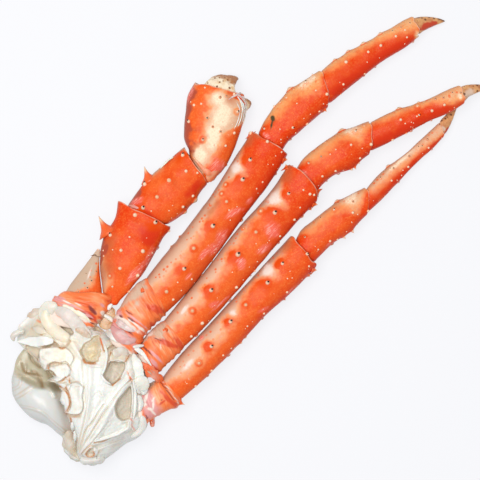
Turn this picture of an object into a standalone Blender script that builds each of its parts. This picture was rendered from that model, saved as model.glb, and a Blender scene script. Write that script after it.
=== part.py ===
"""King crab leg cluster: the meat-filled shoulder, the claw arm and three walking legs.

The cluster lies flat. +X runs along the legs towards their tips, +Y towards the claw arm,
+Z up. Design sizes are in millimetres and become metres when a mesh is made. Every limb is
a chain of shell segments between joints, worked out by solve_limb from named sizes.
"""

import math

import bmesh
import bpy
import numpy as np

MM = 0.001
GAP = 0.4
# Middle of the footprint in the design's own numbers. It becomes the part's origin.
FOOTPRINT_MIDDLE = (-3.0, -0.4, 0.0)

# Half-widths of a segment are given at these shares of its length, from base to tip.
PLACES = (0.0, 0.12, 0.35, 0.60, 0.85, 1.0)
# A stout segment has 16 sides and these rings, a slim one has 12 sides and fewer rings.
STOUT_SIDES = 16
STOUT_RINGS = (0.0, 0.06, 0.16, 0.30, 0.46, 0.62, 0.77, 0.90, 1.0)
SLIM_SIDES = 12
SLIM_RINGS = (0.0, 0.15, 0.35, 0.55, 0.72, 0.86, 1.0)
SLIM_WIDTH = 9.0
SQUARENESS = 2.35

SHELL = (0.80, 0.13, 0.035)
DARK_TIP = (0.42, 0.20, 0.08)
MEMBRANE = (0.80, 0.76, 0.66)
MEAT = (0.74, 0.74, 0.70)

# A segment: length and heading of its axis in plan, the bearing of the joint face at its
# tip, the height of that joint, half-widths on the front (+Y) and back (-Y) sides, and its
# thickness as a share of its width. Spines: place along, angle round (0 is the front edge,
# 90 the top, 180 the back edge), length, radius and lean towards the tip in degrees.
LEG_1 = {
    "start": (-130.3, -22.4, 27.0),
    "face": 98.0,
    "segments": (
        dict(name="coxa", length=42.5, heading=11.2, face=83.5, height=22.0, thick=0.84,
             front=(11.0, 13.6, 17.2, 18.6, 18.8, 17.5), back=(13.5, 12.8, 9.8, 10.0, 12.2, 13.2),
             spines=((0.93, 50, 3.0, 2.4, 10),)),
        dict(name="merus", length=145.7, heading=11.7, face=105.0, height=14.2, thick=0.82,
             front=(15.5, 15.0, 13.0, 12.7, 15.2, 16.2), back=(13.2, 16.0, 17.1, 16.8, 17.2, 15.4),
             spines=((0.96, 150, 2.4, 2.2, 20), (0.57, 75, 2.2, 2.0, 0), (0.33, 80, 2.2, 2.0, 0))),
        dict(name="carpus", length=58.1, heading=3.3, face=62.8, height=12.5, thick=0.84,
             front=(11.6, 14.2, 16.9, 17.6, 15.1, 13.8), back=(10.5, 9.0, 9.7, 10.7, 12.2, 14.0),
             spines=((0.86, 165, 1.8, 1.8, 15),)),
        dict(name="propodus", length=82.9, heading=-7.9, face=73.2, height=8.0, thick=0.86,
             front=(12.6, 13.2, 12.5, 10.7, 9.4, 8.2), back=(12.4, 11.2, 9.1, 7.8, 8.8, 7.6),
             spines=()),
        dict(name="dactyl", length=22.0, heading=-31.0, face=48.0, height=4.0, thick=0.90,
             front=(6.4, 6.6, 6.1, 4.7, 2.5, 0.7), back=(6.6, 5.2, 3.7, 2.3, 1.2, 0.7),
             spines=()),
    ),
}
LEG_2 = {
    "start": (-125.5, -43.9, 24.0),
    "face": 77.0,
    "segments": (
        dict(name="coxa", length=29.4, heading=2.5, face=88.4, height=20.0, thick=0.84,
             front=(10.0, 11.6, 13.4, 13.6, 13.2, 12.4), back=(13.0, 12.8, 12.6, 12.9, 13.2, 12.6),
             spines=((0.90, 60, 2.8, 2.2, 10),)),
        dict(name="merus", length=150.0, heading=7.5, face=83.9, height=14.6, thick=0.80,
             front=(12.2, 12.4, 12.9, 14.8, 14.4, 17.6), back=(12.6, 14.4, 15.4, 15.4, 16.2, 17.6),
             spines=((0.96, 160, 2.4, 2.2, 20), (0.60, 80, 2.2, 2.0, 0), (0.38, 80, 2.2, 2.0, 0))),
        dict(name="carpus", length=60.6, heading=-8.6, face=49.9, height=13.5, thick=0.84,
             front=(10.4, 14.0, 16.1, 16.6, 14.1, 12.6), back=(13.0, 10.6, 8.6, 11.6, 10.8, 11.6),
             spines=((0.07, 178, 6.0, 3.6, -28), (0.66, 168, 2.2, 2.2, 0))),
        dict(name="propodus", length=76.2, heading=-16.9, face=65.4, height=15.0, thick=0.82,
             front=(11.2, 11.2, 10.2, 7.9, 7.9, 7.4), back=(10.2, 9.7, 8.7, 7.7, 8.2, 6.6),
             spines=()),
        dict(name="dactyl", length=22.2, heading=-26.3, face=48.0, height=11.5, thick=0.90,
             front=(5.9, 6.1, 5.6, 4.0, 2.0, 0.7), back=(5.6, 3.6, 2.4, 1.5, 1.0, 0.7),
             spines=()),
    ),
}
LEG_3 = {
    "start": (-152.9, -68.7, 22.0),
    "face": 66.0,
    "segments": (
        dict(name="coxa", length=28.0, heading=-5.6, face=91.6, height=17.5, thick=0.84,
             front=(13.0, 13.6, 13.4, 12.2, 11.2, 9.8), back=(12.0, 10.8, 10.9, 12.4, 14.2, 11.0),
             spines=((0.92, 175, 3.6, 3.0, 20), (0.28, 178, 9.0, 3.6, -55))),
        dict(name="merus", length=143.2, heading=3.6, face=91.0, height=13.0, thick=0.84,
             front=(9.8, 12.1, 12.9, 13.9, 15.0, 15.6), back=(11.6, 13.0, 13.8, 12.8, 14.8, 14.4),
             spines=((0.96, 165, 3.0, 2.8, 10), (0.75, 178, 1.6, 2.2, 0), (0.52, 80, 2.2, 2.0, 0),
                     (0.66, 80, 2.2, 2.0, 0))),
        dict(name="carpus", length=61.3, heading=-3.0, face=53.0, height=11.0, thick=0.86,
             front=(10.4, 13.6, 14.2, 13.9, 11.9, 10.2), back=(11.0, 9.9, 8.9, 10.4, 9.2, 9.6),
             spines=((0.50, 170, 2.0, 2.0, 5), (0.64, 170, 2.2, 2.0, 5))),
        dict(name="propodus", length=77.7, heading=1.6, face=71.2, height=6.0, thick=0.88,
             front=(8.8, 8.8, 7.8, 5.7, 5.6, 5.4), back=(8.6, 7.9, 6.3, 5.2, 5.9, 5.3),
             spines=()),
        dict(name="dactyl", length=26.2, heading=18.9, face=110.0, height=3.6, thick=0.90,
             front=(4.7, 4.6, 3.1, 1.9, 1.2, 0.7), back=(4.7, 4.6, 4.0, 2.9, 1.7, 0.7),
             spines=()),
    ),
}
CLAW_BASE = {
    "start": (-144.8, 10.9, 26.0),
    "face": 127.0,
    "segments": (
        dict(name="coxa", length=21.1, heading=22.8, face=135.4, height=23.5, thick=0.50,
             front=(23.0, 24.0, 24.6, 24.8, 25.0, 24.6), back=(13.0, 13.4, 14.4, 15.6, 16.6, 17.2),
             spines=()),
    ),
}
CLAW_ISCHIUM = {
    "start": (-127.4, 23.5, 22.0),
    "face": 135.4,
    "segments": (
        dict(name="ischium", length=36.3, heading=29.9, face=138.0, height=20.0, thick=0.52,
             front=(15.2, 13.5, 10.0, 6.7, 3.6, 2.0), back=(13.4, 12.2, 9.0, 5.0, 2.2, 1.0),
             spines=()),
    ),
}
CLAW_ARM = {
    "start": (-113.3, 6.7, 22.5),
    "face": 135.4,
    "segments": (
        dict(name="merus", length=68.4, heading=26.8, face=111.9, height=16.5, thick=0.64,
             front=(6.6, 10.9, 19.3, 23.7, 21.1, 23.6), back=(5.6, 8.3, 13.5, 16.1, 18.3, 20.6),
             spines=((0.69, 8, 12.5, 4.6, 33), (0.55, 62, 2.6, 2.2, 0), (0.58, 118, 2.6, 2.2, 0),
                     (0.32, 125, 2.6, 2.2, 0), (0.95, 172, 2.4, 2.4, 10))),
        dict(name="carpus", length=53.0, heading=3.0, face=82.0, height=15.5, thick=0.74,
             front=(15.6, 16.6, 18.1, 18.0, 17.0, 16.2), back=(16.4, 17.6, 18.9, 18.1, 16.6, 16.2),
             spines=((0.42, 10, 9.5, 3.8, 22), (0.28, 38, 4.6, 2.8, 6), (0.10, 66, 4.0, 2.6, 0),
                     (0.47, 86, 2.4, 2.2, 0), (0.50, 158, 2.6, 2.4, 0), (0.66, 150, 2.4, 2.2, 0))),
    ),
}
CLAW_HAND = {
    "start": (2.4, 37.0, 15.5),
    "face": 82.0,
    "segments": (
        dict(name="palm", length=60.6, heading=36.2, face=125.0, height=15.0, thick=0.62,
             front=(16.5, 18.0, 18.5, 19.4, 20.3, 17.4), back=(13.1, 17.8, 22.1, 24.1, 24.0, 20.7),
             spines=((0.30, 88, 2.2, 2.2, 0), (0.88, 70, 2.2, 1.8, 0))),
    ),
}

# The fingers hook down from the far end of the palm. Each is a tapered tube along a curve
# through three points, with its half-width and half-thickness at the root and at the tip.
FINGERS = (
    dict(name="claw_finger_moving", points=((46.0, 65.0, 19.0), (56.0, 75.5, 18.0), (64.0, 67.5, 4.0)),
         wide=(14.5, 5.0), thick=(6.0, 2.8), facing=137.0),
    dict(name="claw_finger_fixed", points=((52.0, 51.0, 12.0), (60.0, 51.5, 12.0), (59.8, 50.6, 3.4)),
         wide=(6.0, 3.4), thick=(5.0, 2.6), facing=110.0),
)

# The shoulder: radii of its outline every 15 degrees about its middle, and the height of its
# rounded rim and of its dome. Relief: middle, half-lengths, turn and rise of each form.
SHOULDER_MIDDLE = (-166.0, -31.7)
SHOULDER_RADII = (41.0, 35.5, 38.0, 44.0, 52.0, 69.5, 71.0, 70.0, 42.0, 29.5, 26.0, 26.5,
                  29.5, 37.0, 54.0, 60.5, 54.5, 50.0, 51.0, 47.5, 41.5, 40.0, 40.5, 42.5)
SHOULDER_RIM = 17.0
SHOULDER_DOME = 45.0
SHOULDER_FALL = 250.0
SHOULDER_FORMS = (
    dict(name="folded finger of meat", at=(8.0, 55.0), reach=(18.0, 5.5), turn=-70, rise=6.0),
    dict(name="upper recess", at=(16.0, 41.0), reach=(11.0, 4.5), turn=-72, rise=-6.5),
    dict(name="crumbly recess", at=(15.0, 20.0), reach=(7.0, 6.0), turn=0, rise=-6.0),
    dict(name="grey recess", at=(19.0, -3.0), reach=(8.5, 6.0), turn=10, rise=-8.0),
    dict(name="leaf recess", at=(8.0, -24.0), reach=(9.5, 4.5), turn=30, rise=-7.0),
    dict(name="upper back lobe", at=(27.0, -24.0), reach=(8.0, 6.0), turn=40, rise=5.0),
    dict(name="lower back lobe", at=(7.0, -46.0), reach=(10.0, 6.5), turn=40, rise=4.0),
    dict(name="apex hollow", at=(-40.0, -37.0), reach=(9.0, 9.0), turn=0, rise=-9.0),
    dict(name="torn edge", at=(-18.0, 14.0), reach=(9.0, 24.0), turn=-8, rise=4.0),
    dict(name="upper fall", at=(-6.0, 70.0), reach=(30.0, 16.0), turn=0, rise=-6.0),
)

# The meat bulges from the open side of the shoulder, with a pocket above it.
MEAT_MIDDLE = (-200.0, -10.1)
MEAT_RADII = (21.5, 24.0, 30.5, 37.0, 34.0, 28.0, 24.5, 22.5, 20.5, 19.5, 20.0, 21.5,
              25.5, 40.0, 34.0, 25.0, 22.0, 21.0)
MEAT_RIM = 13.0
MEAT_DOME = 29.0
MEAT_FALL = 400.0
MEAT_FORMS = (
    dict(name="meat bulb", at=(-6.0, -8.0), reach=(17.0, 22.0), turn=0, rise=6.0),
    dict(name="pocket", at=(13.0, 20.0), reach=(14.0, 14.0), turn=0, rise=-13.0),
)

FOOT_SHARE = 0.78
DOME_ROUNDNESS = 3.2


def material(name, colour, roughness):
    """Return a new Principled material of one colour."""
    finish = bpy.data.materials.new(name)
    finish.use_nodes = True
    shader = finish.node_tree.nodes["Principled BSDF"]
    shader.inputs["Base Color"].default_value = (*colour, 1.0)
    shader.inputs["Roughness"].default_value = roughness
    return finish


def add_object(name, points, faces, finish):
    """Make a mesh object from points in millimetres, with its faces turned outwards."""
    mesh = bpy.data.meshes.new(name)
    placed = (np.asarray(points) - np.array(FOOTPRINT_MIDDLE)) * MM
    mesh.from_pydata([tuple(point) for point in placed], [], faces)
    shape = bmesh.new()
    shape.from_mesh(mesh)
    bmesh.ops.recalc_face_normals(shape, faces=shape.faces)
    shape.to_mesh(mesh)
    shape.free()
    mesh.shade_smooth()
    mesh.materials.append(finish)
    thing = bpy.data.objects.new(name, mesh)
    bpy.context.collection.objects.link(thing)
    return thing


def hide(cutter):
    """Keep a cutter out of the model."""
    cutter.hide_render = True
    cutter.display_type = "WIRE"


def combine(thing, cutter, operation):
    """Add a live Boolean of the cutter to the thing."""
    boolean = thing.modifiers.new(operation.lower(), "BOOLEAN")
    boolean.operation = operation
    boolean.solver = "EXACT"
    boolean.object = cutter
    hide(cutter)


def smooth_through(places, values, at):
    """Cubic Hermite curve through the values, its slopes taken from their neighbours."""
    places = np.asarray(places, float)
    values = np.asarray(values, float)
    at = np.asarray(at, float)
    slopes = np.gradient(values, places)
    left = np.clip(np.searchsorted(places, at, side="right") - 1, 0, len(places) - 2)
    span = places[left + 1] - places[left]
    share = (at - places[left]) / span
    return ((1 + 2 * share) * (1 - share) ** 2 * values[left]
            + share * (1 - share) ** 2 * span * slopes[left]
            + share ** 2 * (3 - 2 * share) * values[left + 1]
            + share ** 2 * (share - 1) * span * slopes[left + 1])


def bearing(degrees):
    """Unit direction in plan at an angle from +X."""
    return np.array((math.cos(math.radians(degrees)), math.sin(math.radians(degrees)), 0.0))


def tube_faces(rings, around):
    """Quads between rings of points, and a flat polygon at each end."""
    faces = [[i * around + j, i * around + (j + 1) % around,
              (i + 1) * around + (j + 1) % around, (i + 1) * around + j]
             for i in range(rings - 1) for j in range(around)]
    faces.append(list(range(around)))
    faces.append([(rings - 1) * around + j for j in range(around)])
    return faces


def segment_point(segment, share, angle):
    """Points on a segment at shares of its length and angles round it, in millimetres.

    The section is a superellipse: across it lies front or back half-width times a power of
    the cosine, and up it the half-thickness times the same power of the sine. Its plane
    turns from the base joint's face to the tip joint's face.
    """
    share = np.asarray(share, float)
    angle = np.radians(np.asarray(angle, float))
    turn = segment["base_slant"] * (1 - share) ** 3 + segment["tip_slant"] * share ** 3
    sideways = np.radians(segment["heading"] + 90.0 + turn)
    front = smooth_through(PLACES, segment["front"], share)
    back = smooth_through(PLACES, segment["back"], share)
    power = 2.0 / SQUARENESS
    across = np.sign(np.cos(angle)) * np.abs(np.cos(angle)) ** power
    upward = np.sign(np.sin(angle)) * np.abs(np.sin(angle)) ** power
    reach = across * np.where(across > 0, front, back)
    middle = segment["base"] + share[..., None] * (segment["tip"] - segment["base"])
    return middle + np.stack((reach * np.cos(sideways), reach * np.sin(sideways),
                              upward * segment["thick"] * (front + back) / 2), axis=-1)


def segment_tube(name, segment, finish, trim):
    """The closed tube of one segment, ending a trim short of each joint."""
    stout = max(segment["front"]) > SLIM_WIDTH
    sides = STOUT_SIDES if stout else SLIM_SIDES
    rings = np.array(STOUT_RINGS if stout else SLIM_RINGS)
    short = trim / segment["length"]
    angles = np.arange(sides) * 360.0 / sides
    share, angle = np.meshgrid(short + rings * (1 - 2 * short), angles, indexing="ij")
    points = segment_point(segment, share, angle).reshape(-1, 3)
    return add_object(name, points, tube_faces(len(rings), sides), finish)


def segment_solid(name, segment, finish):
    """One shell segment with its spines, ending half a gap short of each joint."""
    shell = segment_tube(name, segment, finish, GAP / 2)
    for number, spine in enumerate(segment["spines"]):
        combine(shell, spine_solid(f"{name}_spine_{number}", segment, spine, finish), "UNION")
    return shell


def spine_solid(name, segment, spine, finish):
    """A leaning six-sided spine whose root is sunk in the shell."""
    place, angle, length, radius, lean = spine
    root = segment_point(segment, np.array([place]), np.array([angle]))[0]
    axis = segment["base"] + place * (segment["tip"] - segment["base"])
    outward = root - axis
    outward /= np.linalg.norm(outward)
    forward = bearing(segment["heading"])
    direction = outward * math.cos(math.radians(lean)) + forward * math.sin(math.radians(lean))
    side = np.cross(direction, (0.0, 0.0, 1.0) if abs(direction[2]) < 0.8 else (1.0, 0.0, 0.0))
    side /= np.linalg.norm(side)
    other = np.cross(direction, side)
    sunk = 0.6 * radius
    rings = ((-sunk, 1.1), (0.25 * length, 0.78), (0.65 * length, 0.42), (length, 0.14))
    sides = 6
    points = []
    for height, share in rings:
        for step in range(sides):
            turn = 2 * math.pi * step / sides
            points.append(root + direction * height
                          + radius * share * (side * math.cos(turn) + other * math.sin(turn)))
    return add_object(name, points, tube_faces(len(rings), sides), finish)


def solve_limb(limb):
    """Place a limb's segments end to end from its start, headings and lengths."""
    base = np.array(limb["start"])
    face = limb["face"]
    solved = []
    for sizes in limb["segments"]:
        tip = base + bearing(sizes["heading"]) * sizes["length"]
        tip[2] = sizes["height"]
        upright = sizes["heading"] + 90.0
        solved.append(dict(sizes, base=base, tip=tip, base_slant=face - upright,
                           tip_slant=sizes["face"] - upright))
        base = tip
        face = sizes["face"]
    return solved


def relief(forms, x, y):
    """Sum of smooth mounds and hollows, each a turned Gaussian of its own reach."""
    total = np.zeros_like(x)
    for form in forms:
        turn = math.radians(form["turn"])
        along = (x - form["at"][0]) * math.cos(turn) + (y - form["at"][1]) * math.sin(turn)
        aside = (y - form["at"][1]) * math.cos(turn) - (x - form["at"][0]) * math.sin(turn)
        total += form["rise"] * np.exp(-(along / form["reach"][0]) ** 2
                                       - (aside / form["reach"][1]) ** 2)
    return total


def lump_solid(name, middle, radii, rim, dome, fall, forms, finish, grow=0.0):
    """A lobed lump on a flat foot: an outline of radii, a rounded rim and a relief on top.

    Over the top the surface height falls with the square of the distance from the middle,
    and rounds over into the rim. Under the rim it tucks in to the foot.
    """
    around = 36
    turns = np.arange(around) * 360.0 / around
    every = 360.0 / len(radii)
    wrapped = np.array(radii[-2:] + radii + radii[:3])
    places = (np.arange(len(wrapped)) - 2) * every
    outline = smooth_through(places, wrapped, turns) + grow
    top_shares = np.array((0.12, 0.25, 0.38, 0.50, 0.61, 0.72, 0.82, 0.90, 0.96, 1.0))
    cosines = np.cos(np.radians(turns))
    sines = np.sin(np.radians(turns))
    rings = []
    for share in top_shares:
        x = share * outline * cosines
        y = share * outline * sines
        height = dome - (x ** 2 + y ** 2) / fall + relief(forms, x, y)
        rounding = (1 - share ** DOME_ROUNDNESS) ** (1 / 2)
        rings.append((x, y, rim + (np.maximum(height, rim) - rim) * rounding + grow))
    for share, drop in ((0.97, 0.38), (0.88, 0.82), (FOOT_SHARE, 1.0)):
        level = rim * (1 - drop) - (grow if drop == 1.0 else 0.0)
        rings.append((share * outline * cosines, share * outline * sines, np.full(around, level)))
    points = np.array([np.stack(ring, axis=-1) for ring in rings]).reshape(-1, 3)
    faces = tube_faces(len(rings), around)[:-2]
    summit = len(points)
    peak = dome + float(relief(forms, np.zeros(1), np.zeros(1))[0]) + grow
    points = np.vstack((points, (0.0, 0.0, peak)))
    faces += [[summit, (j + 1) % around, j] for j in range(around)]
    faces.append([(len(rings) - 1) * around + j for j in range(around)])
    return add_object(name, points + np.array((*middle, 0.0)), faces, finish)


def finger_solid(sizes, finish):
    """A flattened tapering tube along a quadratic curve through three points."""
    first, middle, last = (np.array(point) for point in sizes["points"])
    sides = 12
    rings = 8
    points = []
    for step in range(rings):
        share = step / (rings - 1)
        centre = ((1 - share) ** 2 * first + 2 * share * (1 - share) * middle
                  + share ** 2 * last)
        ahead = 2 * (1 - share) * (middle - first) + 2 * share * (last - middle)
        ahead /= np.linalg.norm(ahead)
        across = bearing(sizes["facing"])
        across = across - ahead * np.dot(across, ahead)
        across /= np.linalg.norm(across)
        upward = np.cross(ahead, across)
        rounding = math.sqrt(1 - (0.9 * share) ** 4)
        wide = (sizes["wide"][0] + share * (sizes["wide"][1] - sizes["wide"][0])) * rounding
        thick = (sizes["thick"][0] + share * (sizes["thick"][1] - sizes["thick"][0])) * rounding
        for turn in np.arange(sides) * 2 * math.pi / sides:
            points.append(centre + wide * math.cos(turn) * across + thick * math.sin(turn) * upward)
    return add_object(sizes["name"], points, tube_faces(rings, sides), finish)


for old in list(bpy.data.objects):
    bpy.data.objects.remove(old, do_unlink=True)

shell_finish = material("cooked_shell", SHELL, 0.28)
tip_finish = material("horny_tip", DARK_TIP, 0.35)
membrane_finish = material("joint_membrane", MEMBRANE, 0.45)
meat_finish = material("cooked_meat", MEAT, 0.35)

shoulder_sizes = (SHOULDER_MIDDLE, SHOULDER_RADII, SHOULDER_RIM, SHOULDER_DOME, SHOULDER_FALL,
                  SHOULDER_FORMS)
shoulder = lump_solid("shoulder", *shoulder_sizes, membrane_finish)
shoulder_cutter = lump_solid("shoulder_cutter", *shoulder_sizes, membrane_finish, grow=GAP)
meat = lump_solid("body_meat", MEAT_MIDDLE, MEAT_RADII, MEAT_RIM, MEAT_DOME, MEAT_FALL,
                  MEAT_FORMS, meat_finish)
combine(meat, shoulder_cutter, "DIFFERENCE")

for prefix, limb in (("leg_1", LEG_1), ("leg_2", LEG_2), ("leg_3", LEG_3), ("claw", CLAW_BASE),
                     ("claw", CLAW_ISCHIUM), ("claw", CLAW_ARM), ("claw", CLAW_HAND)):
    for segment in solve_limb(limb):
        finish = tip_finish if segment["name"] == "dactyl" else shell_finish
        piece = segment_solid(f"{prefix}_{segment['name']}", segment, finish)
        if segment["name"] == "coxa":
            combine(piece, shoulder_cutter, "DIFFERENCE")

palm = solve_limb(CLAW_HAND)[0]
palm.update(front=[width + GAP for width in palm["front"]],
            back=[width + GAP for width in palm["back"]])
palm_cutter = segment_tube("palm_cutter", palm, shell_finish, -GAP)
for sizes in FINGERS:
    combine(finger_solid(sizes, tip_finish), palm_cutter, "DIFFERENCE")
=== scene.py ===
"""King crab leg cluster: the looks of the cooked cluster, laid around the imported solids.

Sizes here are in millimetres from the solids' own datum, and become metres in a mesh. The
sections go from the table to the walking legs and their studs, the claw arm, the horny tips,
the ischium and the coxae, then the shoulder, its folds, the skins of the claw, and the meat.
"""

import math

import bpy
import numpy as np
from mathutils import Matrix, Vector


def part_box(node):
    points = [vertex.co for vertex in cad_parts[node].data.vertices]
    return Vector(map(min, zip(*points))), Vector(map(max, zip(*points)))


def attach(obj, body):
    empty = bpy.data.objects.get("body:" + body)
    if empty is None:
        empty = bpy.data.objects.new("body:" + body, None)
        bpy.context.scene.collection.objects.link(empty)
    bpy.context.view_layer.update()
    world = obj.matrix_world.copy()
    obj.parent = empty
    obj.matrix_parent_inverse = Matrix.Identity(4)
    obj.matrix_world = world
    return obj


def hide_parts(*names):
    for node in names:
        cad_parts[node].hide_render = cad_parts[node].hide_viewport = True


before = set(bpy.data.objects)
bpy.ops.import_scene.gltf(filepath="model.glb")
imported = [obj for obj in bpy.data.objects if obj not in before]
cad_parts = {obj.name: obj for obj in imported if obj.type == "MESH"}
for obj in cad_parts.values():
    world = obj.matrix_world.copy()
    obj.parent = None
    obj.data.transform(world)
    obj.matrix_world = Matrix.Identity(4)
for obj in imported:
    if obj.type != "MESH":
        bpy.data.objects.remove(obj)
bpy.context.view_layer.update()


# ------------------------------------------------------------
# Table, light and camera. A pale table under one large soft box and an even sky, seen from
# straight above, with the legs pointing to the upper right.
MM = 0.001
VIEW_TURN = math.radians(42.0)
VIEW_MIDDLE = (-0.0094, -0.0232, 0.020)
VIEW_SPAN = 0.360
LENS_MM = 200.0
SENSOR_MM = 36.0
LIGHT_PLACE = (-0.15, 0.32, 1.8)
LIGHT_WIDTH = 1.3
LIGHT_WATTS = 31.0
LIGHT_WARM = (1.0, 0.985, 0.965)
SKY_COLOUR = (0.93, 0.96, 1.0, 1.0)
SKY_STRENGTH = 0.50
TABLE_SIDE = 6.0
TABLE_GREY = (0.10, 0.10, 0.10, 1.0)
TABLE_WHITE = (0.96, 0.965, 1.0, 1.0)
TABLE_GLOW = 0.80

scene = bpy.context.scene
scene.view_settings.view_transform = "Standard"

camera_data = bpy.data.cameras.new("camera")
camera_data.lens = LENS_MM
camera_data.sensor_width = SENSOR_MM
camera = bpy.data.objects.new("camera", camera_data)
scene.collection.objects.link(camera)
camera.location = (VIEW_MIDDLE[0], VIEW_MIDDLE[1],
                   VIEW_MIDDLE[2] + VIEW_SPAN * LENS_MM / SENSOR_MM)
camera.rotation_euler = (0.0, 0.0, -VIEW_TURN)
scene.camera = camera

box_light = bpy.data.lights.new("soft_box", "AREA")
box_light.shape = "DISK"
box_light.size = LIGHT_WIDTH
box_light.energy = LIGHT_WATTS
box_light.color = LIGHT_WARM
light = bpy.data.objects.new("soft_box", box_light)
scene.collection.objects.link(light)
light.location = LIGHT_PLACE
light.rotation_euler = (-math.atan2(LIGHT_PLACE[1], LIGHT_PLACE[2]),
                        math.atan2(LIGHT_PLACE[0], LIGHT_PLACE[2]), 0.0)

sky = bpy.data.worlds.new("sky")
sky.use_nodes = True
sky.node_tree.nodes["Background"].inputs["Color"].default_value = SKY_COLOUR
sky.node_tree.nodes["Background"].inputs["Strength"].default_value = SKY_STRENGTH
scene.world = sky


table_mesh = bpy.data.meshes.new("table")
half = TABLE_SIDE / 2
table_mesh.from_pydata([(-half, -half, 0), (half, -half, 0), (half, half, 0), (-half, half, 0)],
                       [], [(0, 1, 2, 3)])
table = bpy.data.objects.new("table", table_mesh)
scene.collection.objects.link(table)
pale_table = bpy.data.materials.new("pale_table")
pale_table.use_nodes = True
shader = pale_table.node_tree.nodes["Principled BSDF"]
shader.inputs["Base Color"].default_value = TABLE_GREY
shader.inputs["Roughness"].default_value = 0.6
shader.inputs["Emission Color"].default_value = TABLE_WHITE
shader.inputs["Emission Strength"].default_value = TABLE_GLOW
table_mesh.materials.append(pale_table)


# ------------------------------------------------------------
# Walking legs. Each is a chain of hollow shell tubes: merus, carpus and propodus, cooked to
# orange red on top and cream on the flank, each socketed into the flared rim of the last.
PLACES = (0.0, 0.12, 0.35, 0.60, 0.85, 1.0)
SQUARENESS = 2.35
SHELL_STEP = 0.75
FINE_STEP = 0.60


def smooth_through(places, values, at):
    """Cubic Hermite curve through the values, its slopes taken from their neighbours."""
    places = np.asarray(places, float)
    values = np.asarray(values, float)
    at = np.clip(np.asarray(at, float), places[0], places[-1])
    slopes = np.gradient(values, places)
    left = np.clip(np.searchsorted(places, at, side="right") - 1, 0, len(places) - 2)
    span = places[left + 1] - places[left]
    share = (at - places[left]) / span
    return ((1 + 2 * share) * (1 - share) ** 2 * values[left]
            + share * (1 - share) ** 2 * span * slopes[left]
            + share ** 2 * (3 - 2 * share) * values[left + 1]
            + share ** 2 * (share - 1) * span * slopes[left + 1])


def smooth_step(low, high, value):
    """0 below low, 1 above high, and a smooth S between them."""
    share = np.clip((value - low) / (high - low), 0.0, 1.0)
    return share * share * (3 - 2 * share)


def bell(value, width):
    """A bell curve: 1 where the value is 0, and e to the minus square of value over width."""
    return np.exp(-(value / width) ** 2)


def cloud(points, cell, seed):
    """Smooth noise from -1 to 1: random values on a cubic lattice of that cell, blended."""
    size = 24
    lattice = np.random.default_rng(seed).uniform(-1.0, 1.0, (size, size, size))
    at = np.asarray(points, float) / cell
    corner = np.floor(at).astype(int)
    share = at - corner
    share = share * share * (3 - 2 * share)
    total = np.zeros(at.shape[:-1])
    for step in np.ndindex(2, 2, 2):
        weight = np.prod(np.where(step, share, 1 - share), axis=-1)
        index = (corner + step) % size
        total += weight * lattice[index[..., 0], index[..., 1], index[..., 2]]
    return total


def bearing(degrees):
    """Unit direction in plan at an angle from +X."""
    return np.array((math.cos(math.radians(degrees)), math.sin(math.radians(degrees)), 0.0))


def solve_limb(prefix, limb):
    """Place a limb's segments end to end from its start, headings and lengths."""
    base = np.array(limb["start"])
    face = limb["face"]
    solved = []
    for sizes in limb["segments"]:
        tip = base + bearing(sizes["heading"]) * sizes["length"]
        tip[2] = sizes["height"]
        upright = sizes["heading"] + 90.0
        solved.append(dict(sizes, node=f"{prefix}_{sizes['name']}", base=base, tip=tip,
                           base_slant=face - upright, tip_slant=sizes["face"] - upright))
        base = tip
        face = sizes["face"]
    return solved


def segment_point(segment, share, angle, scale=1.0):
    """Points on a segment at shares of its length and angles round it, in millimetres.

    The section is a superellipse: across it lies front or back half-width times a power of
    the cosine, and up it the half-thickness times the same power of the sine. Its plane
    turns from the base joint's face to the tip joint's face. Scale draws it to the axis.
    """
    share = np.asarray(share, float)
    within = np.clip(share, 0.0, 1.0)
    angle = np.radians(np.asarray(angle, float))
    turn = segment["base_slant"] * (1 - within) ** 3 + segment["tip_slant"] * within ** 3
    sideways = np.radians(segment["heading"] + 90.0 + turn)
    front = smooth_through(PLACES, segment["front"], share)
    back = smooth_through(PLACES, segment["back"], share)
    power = 2.0 / SQUARENESS
    across = np.sign(np.cos(angle)) * np.abs(np.cos(angle)) ** power
    upward = np.sign(np.sin(angle)) * np.abs(np.sin(angle)) ** power
    reach = scale * across * np.where(across > 0, front, back)
    rise = scale * upward * segment["thick"] * (front + back) / 2
    middle = segment["base"] + share[..., None] * (segment["tip"] - segment["base"])
    return middle + np.stack((reach * np.cos(sideways), reach * np.sin(sideways), rise), axis=-1)


def outward(points):
    """Unit normals of a grid of points whose columns close round, facing away from its axis."""
    along = np.gradient(points, axis=0)
    around = np.roll(points, -1, axis=1) - np.roll(points, 1, axis=1)
    normal = np.cross(along, around)
    length = np.linalg.norm(normal, axis=-1, keepdims=True)
    normal = normal / np.maximum(length, 1e-9)
    away = points - points.mean(axis=1, keepdims=True)
    return normal * np.sign(np.sum(normal * away, axis=-1).mean() or 1.0)


def tube_mesh(points):
    """Vertices and faces of a tube: quads between rows, and a fan to a pole at each end."""
    rows, columns = points.shape[:2]
    i, j = np.meshgrid(np.arange(rows - 1), np.arange(columns), indexing="ij")
    k = (j + 1) % columns
    quads = np.stack((i * columns + j, i * columns + k, (i + 1) * columns + k,
                      (i + 1) * columns + j), axis=-1).reshape(-1, 4)
    first = rows * columns
    j = np.arange(columns)
    k = (j + 1) % columns
    base_fan = np.stack((np.full(columns, first), k, j), axis=-1)
    last = (rows - 1) * columns
    tip_fan = np.stack((np.full(columns, first + 1), last + j, last + k), axis=-1)
    vertices = np.vstack((points.reshape(-1, 3), points[0].mean(axis=0), points[-1].mean(axis=0)))
    return vertices, quads.tolist() + base_fan.tolist() + tip_fan.tolist()


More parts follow.
